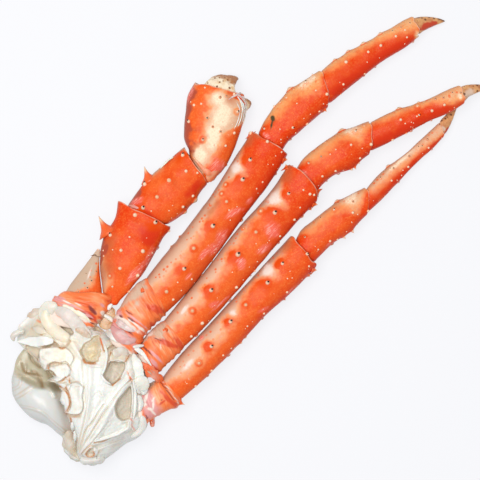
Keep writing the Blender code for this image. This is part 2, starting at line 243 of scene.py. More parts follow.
def signed_volume(vertices, faces):
    """Six times the volume that the faces enclose, positive where they face outwards."""
    a, b, c = (vertices[[face[n] for face in faces]] for n in range(3))
    return np.sum(np.cross(a, b) * c)


def make_piece(name, vertices, faces, masks, finish):
    """A smooth-shaded piece from vertices in millimetres, with its masks as attributes."""
    if signed_volume(vertices, faces) < 0:
        faces = [face[::-1] for face in faces]
    mesh = bpy.data.meshes.new(name)
    mesh.from_pydata(((vertices + datum) * MM).tolist(), [], faces)
    for mask_name, values in masks.items():
        attribute = mesh.attributes.new(mask_name, "FLOAT", "POINT")
        attribute.data.foreach_set("value", np.ascontiguousarray(values, np.float32).ravel())
    mesh.shade_smooth()
    mesh.materials.append(finish)
    piece = bpy.data.objects.new(name, mesh)
    scene.collection.objects.link(piece)
    return piece


def with_poles(values):
    """A mask on a tube's grid, carried on to the two poles from the rows beside them."""
    return np.concatenate((values.ravel(), (values[0].mean(), values[-1].mean())))


def tube_piece(name, points, masks, finish, node):
    """A closed tube that stands for its node and rides with the cluster."""
    vertices, faces = tube_mesh(points)
    masks = {mask_name: with_poles(values) for mask_name, values in masks.items()}
    piece = make_piece(name, vertices, faces, masks, finish)
    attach(piece, "root")
    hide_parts(node)


class Nodes:
    """A node tree and its makers: each adds a node, and gives back the socket it puts out."""

    def __init__(self, tree):
        self.tree = tree

    def add(self, kind, **settings):
        """Add a node and set what it is told, such as its operation."""
        made = self.tree.nodes.new(kind)
        for name, value in settings.items():
            setattr(made, name, value)
        return made

    def feed(self, socket, value):
        """Link a socket to another node's output, or give it a plain number or colour."""
        if isinstance(value, bpy.types.NodeSocket):
            self.tree.links.new(value, socket)
        elif hasattr(value, "__len__") and len(value) == 3 and len(socket.default_value) == 4:
            socket.default_value = (*value, 1.0)
        else:
            socket.default_value = value

    def calculate(self, operation, *values, clamp=True):
        """A Math node's result, clamped to 0 to 1 for a mask."""
        made = self.add("ShaderNodeMath", operation=operation, use_clamp=clamp)
        for socket, value in zip(made.inputs, values):
            self.feed(socket, value)
        return made.outputs[0]

    def times(self, first, second):
        """Two masks, or a mask and a share, multiplied."""
        return self.calculate("MULTIPLY", first, second)

    def stretch(self, value, low, high):
        """Smooth S from 0 to 1 as the value goes from low to high."""
        ramp = self.add("ShaderNodeMapRange", interpolation_type="SMOOTHSTEP")
        self.feed(ramp.inputs["Value"], value)
        ramp.inputs["From Min"].default_value = low
        ramp.inputs["From Max"].default_value = high
        return ramp.outputs["Result"]

    def mask(self, name):
        """A mask that the mesh carries as an attribute."""
        return self.add("ShaderNodeAttribute", attribute_name=name).outputs["Fac"]

    def place(self):
        """Object coordinates, in metres."""
        return self.add("ShaderNodeTexCoord").outputs["Object"]

    def carried_place(self, first, second):
        """A place whose two coordinates are masks that the mesh carries."""
        made = self.add("ShaderNodeCombineXYZ")
        self.feed(made.inputs["X"], self.mask(first))
        self.feed(made.inputs["Y"], self.mask(second))
        return made.outputs[0]

    def noise(self, vector, scale, detail=2.0, roughness=0.5):
        """Cloudy noise from 0 to 1; the scale is in waves to a metre."""
        cloudy = self.add("ShaderNodeTexNoise")
        self.feed(cloudy.inputs["Vector"], vector)
        self.feed(cloudy.inputs["Scale"], scale)
        cloudy.inputs["Detail"].default_value = detail
        cloudy.inputs["Roughness"].default_value = roughness
        return cloudy.outputs["Fac"]

    def group(self, group, **values):
        """Place a group with its own values, and return its output."""
        made = self.add("ShaderNodeGroup", node_tree=group.tree)
        for name, value in values.items():
            self.feed(made.inputs[name], value)
        return made.outputs[0]

    def ragged(self, place, name, scale, amount, soft=0.4):
        """A mask that the mesh carries, with a ragged edge."""
        return self.group(ragged_edge, Vector=place, Mask=self.mask(name), Scale=scale,
                          Amount=amount, Soft=soft)

    def coats(self, colour, *layers):
        """A colour with others laid over it in turn, each by its mask or the name of a mask."""
        for mask, coat in layers:
            mix = self.add("ShaderNodeMix", data_type="RGBA")
            self.feed(mix.inputs[0], self.mask(mask) if isinstance(mask, str) else mask)
            self.feed(mix.inputs[6], colour)
            self.feed(mix.inputs[7], coat)
            colour = mix.outputs[2]
        return colour

    def relief(self, shader, height, distance, strength):
        """Fine relief: a height that bumps the shader's normal, at its distance in metres."""
        bump = self.add("ShaderNodeBump")
        bump.inputs["Strength"].default_value = strength
        bump.inputs["Distance"].default_value = distance
        self.feed(bump.inputs["Height"], height)
        self.feed(shader.inputs["Normal"], bump.outputs[0])

    def finish(self, shader, colour, texture, share, least, **plain):
        """Feed a shader its colour, its roughness and its plain values.

        The roughness is the texture times the share, on top of the least.
        """
        self.feed(shader.inputs["Base Color"], colour)
        self.feed(shader.inputs["Roughness"],
                  self.calculate("MULTIPLY_ADD", texture, share, least))
        for name, value in plain.items():
            shader.inputs[name.replace("_", " ")].default_value = value


def new_material(name):
    """A material, returned with its nodes, its Principled shader and its object coordinates."""
    finish = bpy.data.materials.new(name)
    finish.use_nodes = True
    nodes = Nodes(finish.node_tree)
    return finish, nodes, finish.node_tree.nodes["Principled BSDF"], nodes.place()


def new_group(name, output, **inputs):
    """A shader node group with named sockets: what comes in, and the socket that goes out.

    An input without a value, and an output named Vector, are vectors; the rest are numbers.
    """
    group = bpy.data.node_groups.new(name, "ShaderNodeTree")
    for socket_name, value in inputs.items():
        kind = "NodeSocketVector" if value is None else "NodeSocketFloat"
        socket = group.interface.new_socket(socket_name, in_out="INPUT", socket_type=kind)
        if value is not None:
            socket.default_value = value
    kind = "NodeSocketVector" if output == "Vector" else "NodeSocketFloat"
    group.interface.new_socket(output, in_out="OUTPUT", socket_type=kind)
    nodes = Nodes(group)
    return nodes, nodes.add("NodeGroupInput").outputs, nodes.add("NodeGroupOutput").inputs[0]


# Ragged edge: a mask whose edge is torn into flecks by noise, as colour ends on cooked shell.
ragged_edge, entry, leave = new_group("ragged_edge", "Mask", Vector=None, Mask=0.0, Scale=300.0,
                                      Amount=0.5, Soft=0.4)
flecks = ragged_edge.noise(entry["Vector"], entry["Scale"], 4.0, 0.62)
centred = ragged_edge.calculate("SUBTRACT", flecks, 0.5, clamp=False)
shifted = ragged_edge.calculate("MULTIPLY_ADD", centred, entry["Amount"], entry["Mask"],
                                clamp=False)
torn = ragged_edge.stretch(shifted, 0.15, 0.85)
softened = ragged_edge.calculate("MULTIPLY", entry["Soft"], ragged_edge.calculate(
    "SUBTRACT", entry["Mask"], torn))
ragged_edge.feed(leave, ragged_edge.calculate("ADD", torn, softened))

# Freckles: small round dots, one to a cell, in the share of the cells that is asked for.
freckles, entry, leave = new_group("freckles", "Mask", Vector=None, Scale=260.0, Size=0.25,
                                   Share=0.5)
cells = freckles.add("ShaderNodeTexVoronoi")
freckles.feed(cells.inputs["Vector"], entry["Vector"])
freckles.feed(cells.inputs["Scale"], entry["Scale"])
chance = freckles.add("ShaderNodeSeparateColor")
freckles.feed(chance.inputs[0], cells.outputs["Color"])
inside = freckles.calculate("LESS_THAN", cells.outputs["Distance"], entry["Size"])
chosen = freckles.calculate("LESS_THAN", chance.outputs[0], entry["Share"])
freckles.feed(leave, freckles.calculate("MULTIPLY", inside, chosen))

# Drawn out: the vector squeezed along the legs, so that noise on it comes out as long flecks.
drawn_out, entry, leave = new_group("drawn_out", "Vector", Vector=None)
squeeze = drawn_out.add("ShaderNodeMapping")
squeeze.inputs["Rotation"].default_value = (0.0, 0.0, math.radians(-12.0))
squeeze.inputs["Scale"].default_value = (0.22, 1.5, 1.0)
drawn_out.feed(squeeze.inputs["Vector"], entry["Vector"])
drawn_out.feed(leave, squeeze.outputs["Vector"])


# Cooked shell: orange red, warmer to the tip and a deeper red at the back, partly the shell's own colour
# and partly painted shade where the back flank turns from the light; cream where bare.
ORANGE_LIGHT = (0.83, 0.168, 0.031)
ORANGE_RED = (0.69, 0.041, 0.002)
DEEP_RED = (0.62, 0.034, 0.007)
CREAM = (0.69, 0.42, 0.285)
# SHADED_CREAM is painted shade: the cream darkened low on the front flank, where it turns down from the
# light.
SHADED_CREAM = (0.50, 0.265, 0.175)
GOLDEN_CREAM = (0.75, 0.385, 0.155)
GREY_CREAM = (0.50, 0.375, 0.27)
BRIGHT_CREAM = (0.85, 0.71, 0.51)
# EDGE_SHADE_BROWN is painted shade: a dark brown laid along the shell's edges where it turns from the
# light.
EDGE_SHADE_BROWN = (0.30, 0.105, 0.045)
SCRATCH_PINK = (0.93, 0.36, 0.29)
SCAR_RED = (0.82, 0.15, 0.11)
# PLUM: the dark red-brown of the claw's front flank, partly the shell's own colour and partly painted
# shade where that flank turns from the light.
PLUM = (0.41, 0.068, 0.033)
HALO_RED = (0.69, 0.060, 0.001)
EDGE_GOLD = (0.88, 0.33, 0.10)
BRIGHT_ROSE = (0.77, 0.65, 0.57)
SHADE_TAN = (0.48, 0.12, 0.045)
RIM_PINK = (0.82, 0.50, 0.36)
FRECKLE_RED = (0.75, 0.13, 0.035)
BLOTCH_RED = (0.52, 0.045, 0.008)
SMUDGE = (0.070, 0.055, 0.025)
GRIT_ORANGE = (0.92, 0.33, 0.08)

cooked_shell, nodes, shader, spot = new_material("cooked_shell")
warm = nodes.calculate("MULTIPLY_ADD", nodes.noise(spot, 70.0, 3.0), 0.7,
                       nodes.calculate("SUBTRACT", nodes.mask("warm"), 0.35))
warm = nodes.calculate("MULTIPLY_ADD", nodes.noise(spot, 260.0, 5.0, 0.7), 0.9,
                       nodes.calculate("SUBTRACT", warm, 0.45))
blotch = nodes.stretch(nodes.noise(spot, 150.0, 6.0, 0.7), 0.52, 0.80)
grit = nodes.noise(spot, 760.0, 4.0, 0.75)
deep = nodes.times(nodes.mask("deep"),
                   nodes.stretch(nodes.noise(spot, 110.0, 3.0), 0.05, 0.55))
skin = nodes.coats(ORANGE_LIGHT, (warm, ORANGE_RED),
                   (nodes.times(blotch, 0.55), BLOTCH_RED),
                   (nodes.times(nodes.stretch(grit, 0.48, 0.72), 0.40), GRIT_ORANGE),
                   (deep, DEEP_RED), ("halo", HALO_RED))
golden = nodes.mask("golden")
lit = nodes.coats(BRIGHT_ROSE, (nodes.times(golden, 4.0), BRIGHT_CREAM))
speckle = nodes.times(nodes.stretch(grit, 0.44, 0.66),
                      nodes.calculate("MULTIPLY_ADD", golden, 0.75, 0.08))
dots = nodes.group(freckles, Vector=spot, Scale=330.0, Size=0.33, Share=0.62)
cream = nodes.coats(CREAM, ("under", SHADED_CREAM), (golden, GOLDEN_CREAM), ("grey", GREY_CREAM),
                    (nodes.ragged(spot, "bright", 300.0, 0.5), lit), (speckle, ORANGE_LIGHT),
                    (nodes.times(dots, nodes.mask("freckled")), FRECKLE_RED))
edge = nodes.mask("bare")
edge = nodes.times(edge, nodes.calculate("SUBTRACT", 1.0, edge))
gild = nodes.times(nodes.stretch(edge, 0.0, 0.27),
                   nodes.stretch(nodes.noise(spot, 330.0, 4.0, 0.65), 0.25, 0.70))
scar = nodes.mask("scar")
streaks = nodes.noise(nodes.group(drawn_out, Vector=spot), 620.0, 5.0, 0.72)
skin = nodes.coats(skin, (nodes.ragged(spot, "bare", 520.0, 0.8, 0.85), cream),
                   (nodes.times(gild, 0.6), EDGE_GOLD), ("shade", SHADE_TAN),
                   (nodes.ragged(spot, "plum", 200.0, 0.6), PLUM), ("brown", EDGE_SHADE_BROWN),
                   (nodes.times(scar, 0.75), SCAR_RED),
                   (nodes.times(nodes.stretch(streaks, 0.50, 0.60), scar), SCRATCH_PINK),
                   (nodes.ragged(spot, "smudge", 500.0, 0.8), SMUDGE), ("rim", RIM_PINK))
nodes.finish(shader, skin, nodes.noise(spot, 380.0, 3.0), 0.22, 0.24,
             Specular_IOR_Level=0.09, Coat_Weight=0.03, Coat_Roughness=0.12)
nodes.relief(shader, nodes.noise(spot, 900.0, 4.0, 0.65), 0.0004, 0.35)

# A segment: its form as in the solids, then its paint. The flank is the angle where the cream
# front flank ends, at FLANK_PLACES; warm and deep are shares of red at PLACES; a patch of paint
# has a place, an angle, reaches along and across in mm, and at times a turn in degrees; a thorn
# has a place, an angle, length and radius in mm, and its lean; rim is how far the tip's edge
# stands out, in mm, at RIM_ANGLES. Studs are listed by kind: place, angle and radius in mm.
FLANK_PLACES = (0.0, 0.10, 0.20, 0.35, 0.50, 0.60, 0.70, 0.78, 0.85, 0.92, 1.0)
RIM_ANGLES = (0, 45, 90, 120, 150, 180)
LEG_1 = dict(
    start=(-130.3, -22.4, 27), face=98,
    segments=(
        dict(name="coxa", length=42.5, heading=11.2, face=83.5, height=22, thick=0.84,
             front=(11, 13.6, 17.2, 18.6, 18.8, 17.5), back=(13.5, 12.8, 9.8, 10, 12.2, 13.2),
             thorns=((0.93, 50, 3, 1.5, 10),)),
        dict(name="merus", length=145.7, heading=11.7, face=105, height=14.2, thick=0.82,
             front=(15.5, 15, 13, 12.7, 15.2, 16.2), back=(13.2, 16, 17.1, 16.8, 17.2, 15.4),
             flank=(60, 76, 80, 79, 73, 56, 48, 76, 36, 16, 14), golden=0,
             shades=((0.95, 30, 7, 5), (0.99, 45, 3, 5), (0.55, 68, 10, 3)),
             warm=(0.25, 0.2, 0.35, 0.5, 0.9, 1), deep=(0.2, 0.3, 0.5, 0.9, 0.9, 1),
             bright=((0.79, 55, 7, 8),),
             scars=((0.34, 118, 6, 2), (0.39, 138, 5, 4), (0.45, 136, 8, 4, -20),
                    (0.59, 118, 7, 2.5, 25), (0.69, 138, 3, 2), (0.2, 122, 3, 1.5)),
             rim=(-2, -1, -1, 0, 0.5, -1), thorns=((0.965, 172, 2.6, 2.2, 20), (0.975, 8, 2.2, 2.6, 20)),
             studs=dict(
                 black=((0.215, 100, 2.3), (0.475, 95, 2.6), (0.757, 89, 2.5), (0.862, 76, 2.2)),
                 ring=((0.07, 100, 1.9), (0.325, 91, 1.8), (0.617, 89, 1.6), (0.635, 62, 1.3),
                       (0.685, 55, 1.4), (0.25, 3, 1.3), (0.32, 3, 1.3)),
                 pale=((0.07, 134, 1.5), (0.205, 137, 1.2), (0.13, 134, 0.8), (0.805, 133, 1),
                       (0.99, 84, 1.7), (0.76, 130, 0.9), (0.98, 18, 2.4), (0.985, 130, 1.1)))),
        dict(name="carpus", length=58.1, heading=3.3, face=62.8, height=12.5, thick=0.84,
             front=(11.6, 14.2, 16.9, 17.6, 15.1, 13.8), back=(10.5, 9, 9.7, 10.7, 12.2, 14),
             flank=(-26, -4, 18, 38, 36, 36, 44, 54, 60, 60, 32), golden=0.9,
             warm=(0.9, 0.75, 0.65, 0.6, 0.7, 0.8), deep=(0.9, 0.8, 0.7, 0.8, 0.9, 0.9),
             bright=((0.82, 36, 9, 5),), scars=((0.035, 62, 1.6, 3),),
             smudges=((0.25, 45, 2.2, 3.6, 10), (0.185, 57, 4.8, 0.75, -36)),
             rim=(-1, 1, 0.3, 1.2, -2, -3), thorns=((0.86, 168, 2.6, 1.5, 15),),
             studs=dict(
                 black=((0.325, 110, 1.7), (0.09, 42, 1.4), (0.8, 36, 1.6), (0.9, 15, 1)),
                 pale=((0.365, 15, 1.8), (0.5, 150, 1.7), (0.3, 143, 1.1), (0.857, 80, 1),
                       (0.755, 143, 1.3), (0.575, 72, 0.8), (0.2, 85, 0.8), (0.985, 108, 1.7),
                       (0.1, 112, 0.8)),
                 knob=((0.62, 5, 2.6),), ring=((0.53, 35, 1.4), (0.44, 28, 1.1), (0.65, 30, 1)))),
        dict(name="propodus", length=82.9, heading=-7.9, face=73.2, height=8, thick=0.86,
             front=(12.6, 13.2, 12.5, 10.7, 9.4, 8.2), back=(12.4, 11.2, 9.1, 7.8, 8.8, 7.6),
             flank=(8, 28, 30, 28, 30, 34, 40, 50, 62, 72, 78), golden=0.8,
             warm=(0.6, 0.55, 0.6, 0.6, 0.5, 0.4), deep=(1, 1.3, 1.3, 1.3, 1, 0.6),
             bright=((0.975, 140, 3.5, 5),), rim=(-0.5, 0.5, 0, 0.8, -1, -1.5),
             studs=dict(
                 knob=((0.18, 10, 1.5), (0.34, 6, 1.8), (0.5, 16, 1.8), (0.68, 14, 1.7)),
                 speck=((0.785, 50, 0.9), (0.865, 58, 0.9), (0.955, 62, 0.9)),
                 pale=((0.268, 62, 1.8), (0.495, 74, 1.5), (0.625, 79, 1.5), (0.785, 81, 1.4),
                       (0.885, 80, 1.1), (0.87, 108, 1.1), (0.16, 119, 1.3), (0.37, 148, 1.3),
                       (0.11, 160, 1)))),
        dict(name="dactyl", length=22, heading=-31, face=48, height=4, thick=0.9,
             front=(6.4, 6.6, 6.1, 4.7, 2.5, 0.7), back=(6.6, 5.2, 3.7, 2.3, 1.2, 0.7))))
LEG_2 = dict(
    start=(-125.5, -43.9, 24), face=77,
    segments=(
        dict(name="coxa", length=29.4, heading=2.5, face=88.4, height=20, thick=0.84,
             front=(10, 11.6, 13.4, 13.6, 13.2, 12.4), back=(13, 12.8, 12.6, 12.9, 13.2, 12.6),
             thorns=((0.9, 60, 2.8, 1.5, 10),)),
        dict(name="merus", length=150, heading=7.5, face=83.9, height=14.6, thick=0.8,
             front=(12.2, 12.4, 12.9, 14.8, 14.4, 17.6), back=(12.6, 14.4, 15.4, 15.4, 16.2, 17.6),
             flank=(70, 80, 80, 78, 62, 50, 44, 60, 82, 26, 10), golden=0,
             shades=((0.94, 36, 7, 7), (0.98, 20, 4, 6)), warm=(0.5, 0.3, 0.3, 0.45, 0.8, 0.9),
             deep=(0.2, 0.25, 0.45, 0.5, 0.9, 0.9), bright=((0.83, 55, 8, 8), (0.12, 66, 6, 2)),
             scars=((0.485, 103, 3, 4, 40), (0.62, 127, 6, 2.5, 20), (0.715, 110, 6, 5),
                    (0.245, 121, 4, 2, 25), (0.28, 140, 9, 1, 10)),
             rim=(-1.5, 0.5, 4.2, 4.5, 1.5, -1),
             thorns=((0.975, 174, 2.8, 2.2, 30), (0.94, 178, 1.8, 1.8, 5), (0.975, 6, 2.6, 2.8, 15)),
             studs=dict(
                 black=((0.287, 90, 2.5), (0.508, 84, 2.9), (0.785, 86, 2.5), (0.9, 82, 1.9),
                        (0.835, 140, 1.7), (1, 131, 1.6)),
                 ring=((0.148, 88, 1.7), (0.65, 82, 1.7), (0.74, 48, 1.8), (0.62, 42, 0.9)),
                 pale=((0.14, 134, 2.1), (0.057, 141, 1.7), (0.383, 142, 1.9), (0.505, 165, 1.5),
                       (0.722, 142, 1.3), (0.9, 126, 1), (0.548, 140, 0.9), (0.985, 120, 1.7),
                       (0.97, 100, 1.1)))),
        dict(name="carpus", length=60.6, heading=-8.6, face=49.9, height=13.5, thick=0.84,
             front=(10.4, 14, 16.1, 16.6, 14.1, 12.6), back=(13, 10.6, 8.6, 11.6, 10.8, 11.6),
             flank=(-24, 6, 36, 42, 34, 30, 38, 54, 62, 52, 25), golden=0.7,
             warm=(0.9, 0.75, 0.6, 0.6, 0.6, 0.6), deep=(0.9, 0.8, 0.6, 0.7, 0.9, 0.9),
             bright=((0.8, 30, 8, 7),), scars=((0.05, 70, 2.4, 3),), rim=(-1.5, 1, 0.5, 1.5, -2, -3),
             thorns=((0.07, 178, 5, 2.4, -28), (0.66, 170, 3, 1.7, 0)),
             studs=dict(
                 speck=((0.475, 22, 1.1), (0.345, 62, 1)), black=((0.175, 55, 1.3), (0.82, 48, 1.6)),
                 ring=((0.925, 40, 1.1),),
                 pale=((0.72, 80, 1.3), (0.222, 114, 1.3), (0.4, 131, 1.4), (0.77, 138, 1.4),
                       (0.985, 112, 1.8), (0.45, 72, 0.8), (0.6, 168, 1.9), (0.73, 163, 1.5),
                       (0.535, 70, 0.8)),
                 knob=((0.69, 3, 2.6),))),
        dict(name="propodus", length=76.2, heading=-16.9, face=65.4, height=15, thick=0.82,
             front=(11.2, 11.2, 10.2, 7.9, 7.9, 7.4), back=(10.2, 9.7, 8.7, 7.7, 8.2, 6.6),
             flank=(8, 24, 30, 32, 34, 40, 50, 66, 82, 92, 96), golden=0.6,
             warm=(0.7, 0.65, 0.7, 0.7, 0.5, 0.3), deep=(1, 1.1, 1.3, 1.4, 0.9, 0.5),
             bright=((0.96, 96, 2.4, 3.2),), rim=(-0.5, 0.5, 0, 0.8, -0.5, -1),
             studs=dict(
                 knob=((0.35, 8, 2), (0.56, 10, 1.4)), ring=((0.535, 45, 1.6),),
                 speck=((0.725, 52, 1), (0.802, 66, 0.9), (0.9, 60, 1), (0.978, 80, 0.8),
                        (0.69, 34, 0.8)),
                 pale=((0.328, 80, 1.4), (0.49, 92, 1.3), (0.65, 98, 1.5), (0.785, 97, 1.4),
                       (0.2, 152, 1.5), (0.42, 105, 0.9), (0.435, 113, 0.9), (0.34, 160, 1.3)),
                 black=((0.515, 91, 1.4),))),
        dict(name="dactyl", length=22.2, heading=-26.3, face=48, height=11.5, thick=0.9,
             front=(5.9, 6.1, 5.6, 4, 2, 0.7), back=(5.6, 3.6, 2.4, 1.5, 1, 0.7))))
LEG_3 = dict(
    start=(-152.9, -68.7, 22), face=66,
    segments=(
        dict(name="coxa", length=28, heading=-5.6, face=91.6, height=17.5, thick=0.84,
             front=(13, 13.6, 13.4, 12.2, 11.2, 9.8), back=(12, 10.8, 10.9, 12.4, 14.2, 11),
             thorns=((0.92, 175, 4, 2, 20), (0.16, 178, 3, 1, -40))),
        dict(name="merus", length=143.2, heading=3.6, face=91, height=13, thick=0.84,
             front=(9.8, 12.1, 12.9, 13.9, 15, 15.6), back=(11.6, 13, 13.8, 12.8, 14.8, 14.4),
             flank=(62, 90, 93, 86, 76, 48, 34, 72, 60, 40, 20), golden=0, shades=((0.95, 40, 6, 5),),
             warm=(0.2, 0.15, 0.25, 0.55, 0.6, 0.7), deep=(0.2, 0.25, 0.4, 0.8, 0.8, 0.9),
             bright=((0.79, 50, 7, 8), (0.15, 78, 7, 2.4), (0.51, 68, 4, 4)),
             scars=((0.63, 126, 4, 1.5, 20), (0.3, 40, 2, 2), (0.8, 150, 4, 1.2)),
             rim=(0, 1.2, 0.8, 0, 0, -1),
             thorns=((0.97, 172, 2.8, 2.2, 30), (0.93, 178, 1.8, 1.8, 5), (0.75, 178, 1.6, 1.5, 0)),
             studs=dict(
                 black=((0.305, 89, 2.2), (0.467, 80, 2.4), (0.747, 79, 2.4), (0.872, 72, 2),
                        (1, 97, 1.9)),
                 ring=((0.198, 95, 1.7), (0.585, 78, 1.7)),
                 pale=((0.1, 153, 1.4), (0.215, 150, 1.5), (0.315, 136, 1.2), (0.62, 141, 1.3),
                       (0.785, 140, 1.4), (0.963, 129, 1.2), (0.512, 126, 1), (0.425, 172, 1.5),
                       (0.37, 142, 0.9)))),
        dict(name="carpus", length=61.3, heading=-3, face=53, height=11, thick=0.86,
             front=(10.4, 13.6, 14.2, 13.9, 11.9, 10.2), back=(11, 9.9, 8.9, 10.4, 9.2, 9.6),
             flank=(-26, 2, 32, 38, 34, 34, 46, 72, 80, 58, 25), golden=0.45,
             warm=(0.8, 0.55, 0.45, 0.5, 0.6, 0.6), deep=(0.8, 0.7, 0.5, 0.7, 0.9, 0.9),
             bright=((0.79, 35, 8, 7),), scars=((0.28, 140, 2, 1),), rim=(-1, 1, 1.2, 0.6, -1.5, -2.5),
             thorns=((0.5, 172, 2.6, 1.5, 5), (0.64, 172, 2.8, 1.5, 5)),
             studs=dict(
                 speck=((0.41, 36, 1.1), (0.12, 56, 0.9), (0.812, 62, 1)), black=((0.582, 46, 1.4),),
                 pale=((0.755, 90, 1.5), (0.32, 126, 1.4), (0.14, 118, 1), (0.975, 134, 1.6),
                       (0.5, 168, 1.6), (0.64, 168, 1.7), (0.41, 150, 1)),
                 knob=((0.66, 2, 2),))),
        dict(name="propodus", length=77.7, heading=1.6, face=71.2, height=6, thick=0.88,
             front=(8.8, 8.8, 7.8, 5.7, 5.6, 5.4), back=(8.6, 7.9, 6.3, 5.2, 5.9, 5.3),
             flank=(30, 62, 68, 68, 72, 74, 76, 80, 84, 92, 98), golden=0.25,
             warm=(0.7, 0.45, 0.5, 0.6, 0.6, 0.5), deep=(0.9, 0.9, 0.9, 0.9, 0.8, 0.5),
             bright=((0.5, 52, 20, 2.5),), rim=(-0.5, 0.3, 0, 0.5, -0.5, -0.5),
             studs=dict(
                 speck=((0.215, 50, 1.1), (0.383, 62, 1.1), (0.58, 70, 1), (0.71, 64, 0.9),
                        (0.742, 79, 0.9), (0.82, 70, 1), (0.355, 47, 0.8)),
                 pale=((0.3, 101, 1.2), (0.51, 116, 1.3), (0.785, 117, 1.2)), knob=((0.35, 6, 1.6),))),
        dict(name="dactyl", length=26.2, heading=18.9, face=110, height=3.6, thick=0.9,
             front=(4.7, 4.6, 3.1, 1.9, 1.2, 0.7), back=(4.7, 4.6, 4, 2.9, 1.7, 0.7))))

LEGS = {name: solve_limb(name, sizes)
        for name, sizes in (("leg_1", LEG_1), ("leg_2", LEG_2), ("leg_3", LEG_3))}

# The solids' datum: the middle of leg 1's dactyl, whose form has nothing standing out of it.
share, angle = np.meshgrid(np.linspace(0.009, 0.991, 7), np.arange(12) * 30.0, indexing="ij")
dactyl_points = segment_point(LEGS["leg_1"][-1], share, angle).reshape(-1, 3)
low, high = (np.array(corner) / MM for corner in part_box("leg_1_dactyl"))
datum = (low + high) / 2 - (dactyl_points.min(axis=0) + dactyl_points.max(axis=0)) / 2


def unit(vector):
    """The vector at length 1."""
    return vector / np.linalg.norm(vector)


def patch_distance(points, segment, place, angle, along, across, turn=0):
    """Distance from the middle of a patch on a segment, as a share of its reach.

    The patch is an ellipse in the plane that touches the segment there, turned from the
    segment's axis; points on the far side of the segment count as far off.
    """
    middle = segment_point(segment, place, angle)
    axis = unit(segment["tip"] - segment["base"])
    beside = segment_point(segment, place, angle + 3.0) - middle
    sideways = unit(beside - axis * np.dot(beside, axis))
    gap = points - middle
    turn = math.radians(turn)
    ahead = gap @ axis * math.cos(turn) + gap @ sideways * math.sin(turn)
    aside = gap @ sideways * math.cos(turn) - gap @ axis * math.sin(turn)
    depth = np.abs(gap @ np.cross(axis, sideways))
    far = depth > 0.8 * segment["thick"] * min(segment["front"][2], segment["back"][2]) + across
    return np.sqrt((ahead / along) ** 2 + (aside / across) ** 2) + 9.0 * far


NECK = ((-3.9, 0.45), (-3.9, 0.72), (-3.2, 0.84), (-1.8, 0.90), (-0.4, 0.95), (0.6, 0.985))
LIP = ((-0.9, 0.0), (-0.35, 0.10), (0.0, 0.42), (0.0, 0.80), (-0.5, 1.15), (-2.2, 1.4),
       (-4.4, 1.8), (-4.6, 5.0))
SLEEVE = ((-0.8, 0.05), (0.4, 0.2), (1.6, 0.5), (2.8, 1.0), (3.8, 1.7), (4.6, 2.7), (4.8, 3.8),
          (3.0, 4.6), (0.0, 5.2), (-3.0, 6.0))
POINTED = ((-1.2, 0.0), (-0.7, 0.1), (-0.3, 0.3), (-0.1, 0.5))


def shell_rings(segment, step, lip=LIP):
    """The grid of one shell tube: shares of length, angles and scales of its rings.

    Along the tube the rings lie a step apart. Behind the base a neck narrows into the last
    segment; at the tip the edge stands out by its rim, rolls over the lip and turns inside.
    """
    length = segment["length"]
    wide = (segment["front"][-1] + segment["back"][-1]) / 2
    body = np.arange(1.5, length - 1.3, step)
    offset = np.concatenate(([n[0] for n in NECK], body, [length + n[0] for n in lip]))
    scale = np.concatenate(([n[1] for n in NECK], np.ones(len(body)),
                            [1 - n[1] / wide for n in lip]))
    girth = 1.6 * (max(segment["front"]) + max(segment["back"])) * (1 + segment["thick"])
    angle = np.arange(round(girth / step)) * 360.0 / round(girth / step) - 90.0
    rim = segment.get("rim", (0.0,) * 6)
    under = (rim[0] + rim[-1]) / 2
    edge = smooth_through((-90,) + RIM_ANGLES + (270,), (under,) + rim + (under,), angle)
    around = np.radians(angle)
    edge = edge + 1.2 * cloud(np.stack((5 * np.cos(around), 5 * np.sin(around),
                                        length + 0 * around), axis=-1), 2.6, 15)
    bulge = smooth_step(length - 12.0, length - 0.9, offset)[:, None] * edge
    share = (offset[:, None] + bulge) / length
    return share, np.broadcast_to(angle, share.shape), scale[:, None], offset[:, None]


def patch_mask(segment, points, rough, patches, low=0.5, high=1.2):
    """1 inside any of the patches and 0 outside, with a wandering edge."""
    mask = np.zeros(points.shape[:-1])
    for patch in patches:
        far = patch_distance(points, segment, *patch) + rough
        mask = np.maximum(mask, 1 - smooth_step(low, high, far))
    return mask


# Patches of a shell's paint: name in the tables, how far the edge wanders, and where the edge
# starts and ends, as shares of the patch's reach.
SHELL_PATCHES = (("bright", 0.22, 0.0, 1.35), ("scars", 0.35, 0.2, 1.5), ("plums", 0.3, 0.5, 1.2),
                 ("smudges", 0.4, 0.3, 1.4), ("shades", 0.25, 0.1, 1.5), ("reds", 0.25, 0.5, 1.2))


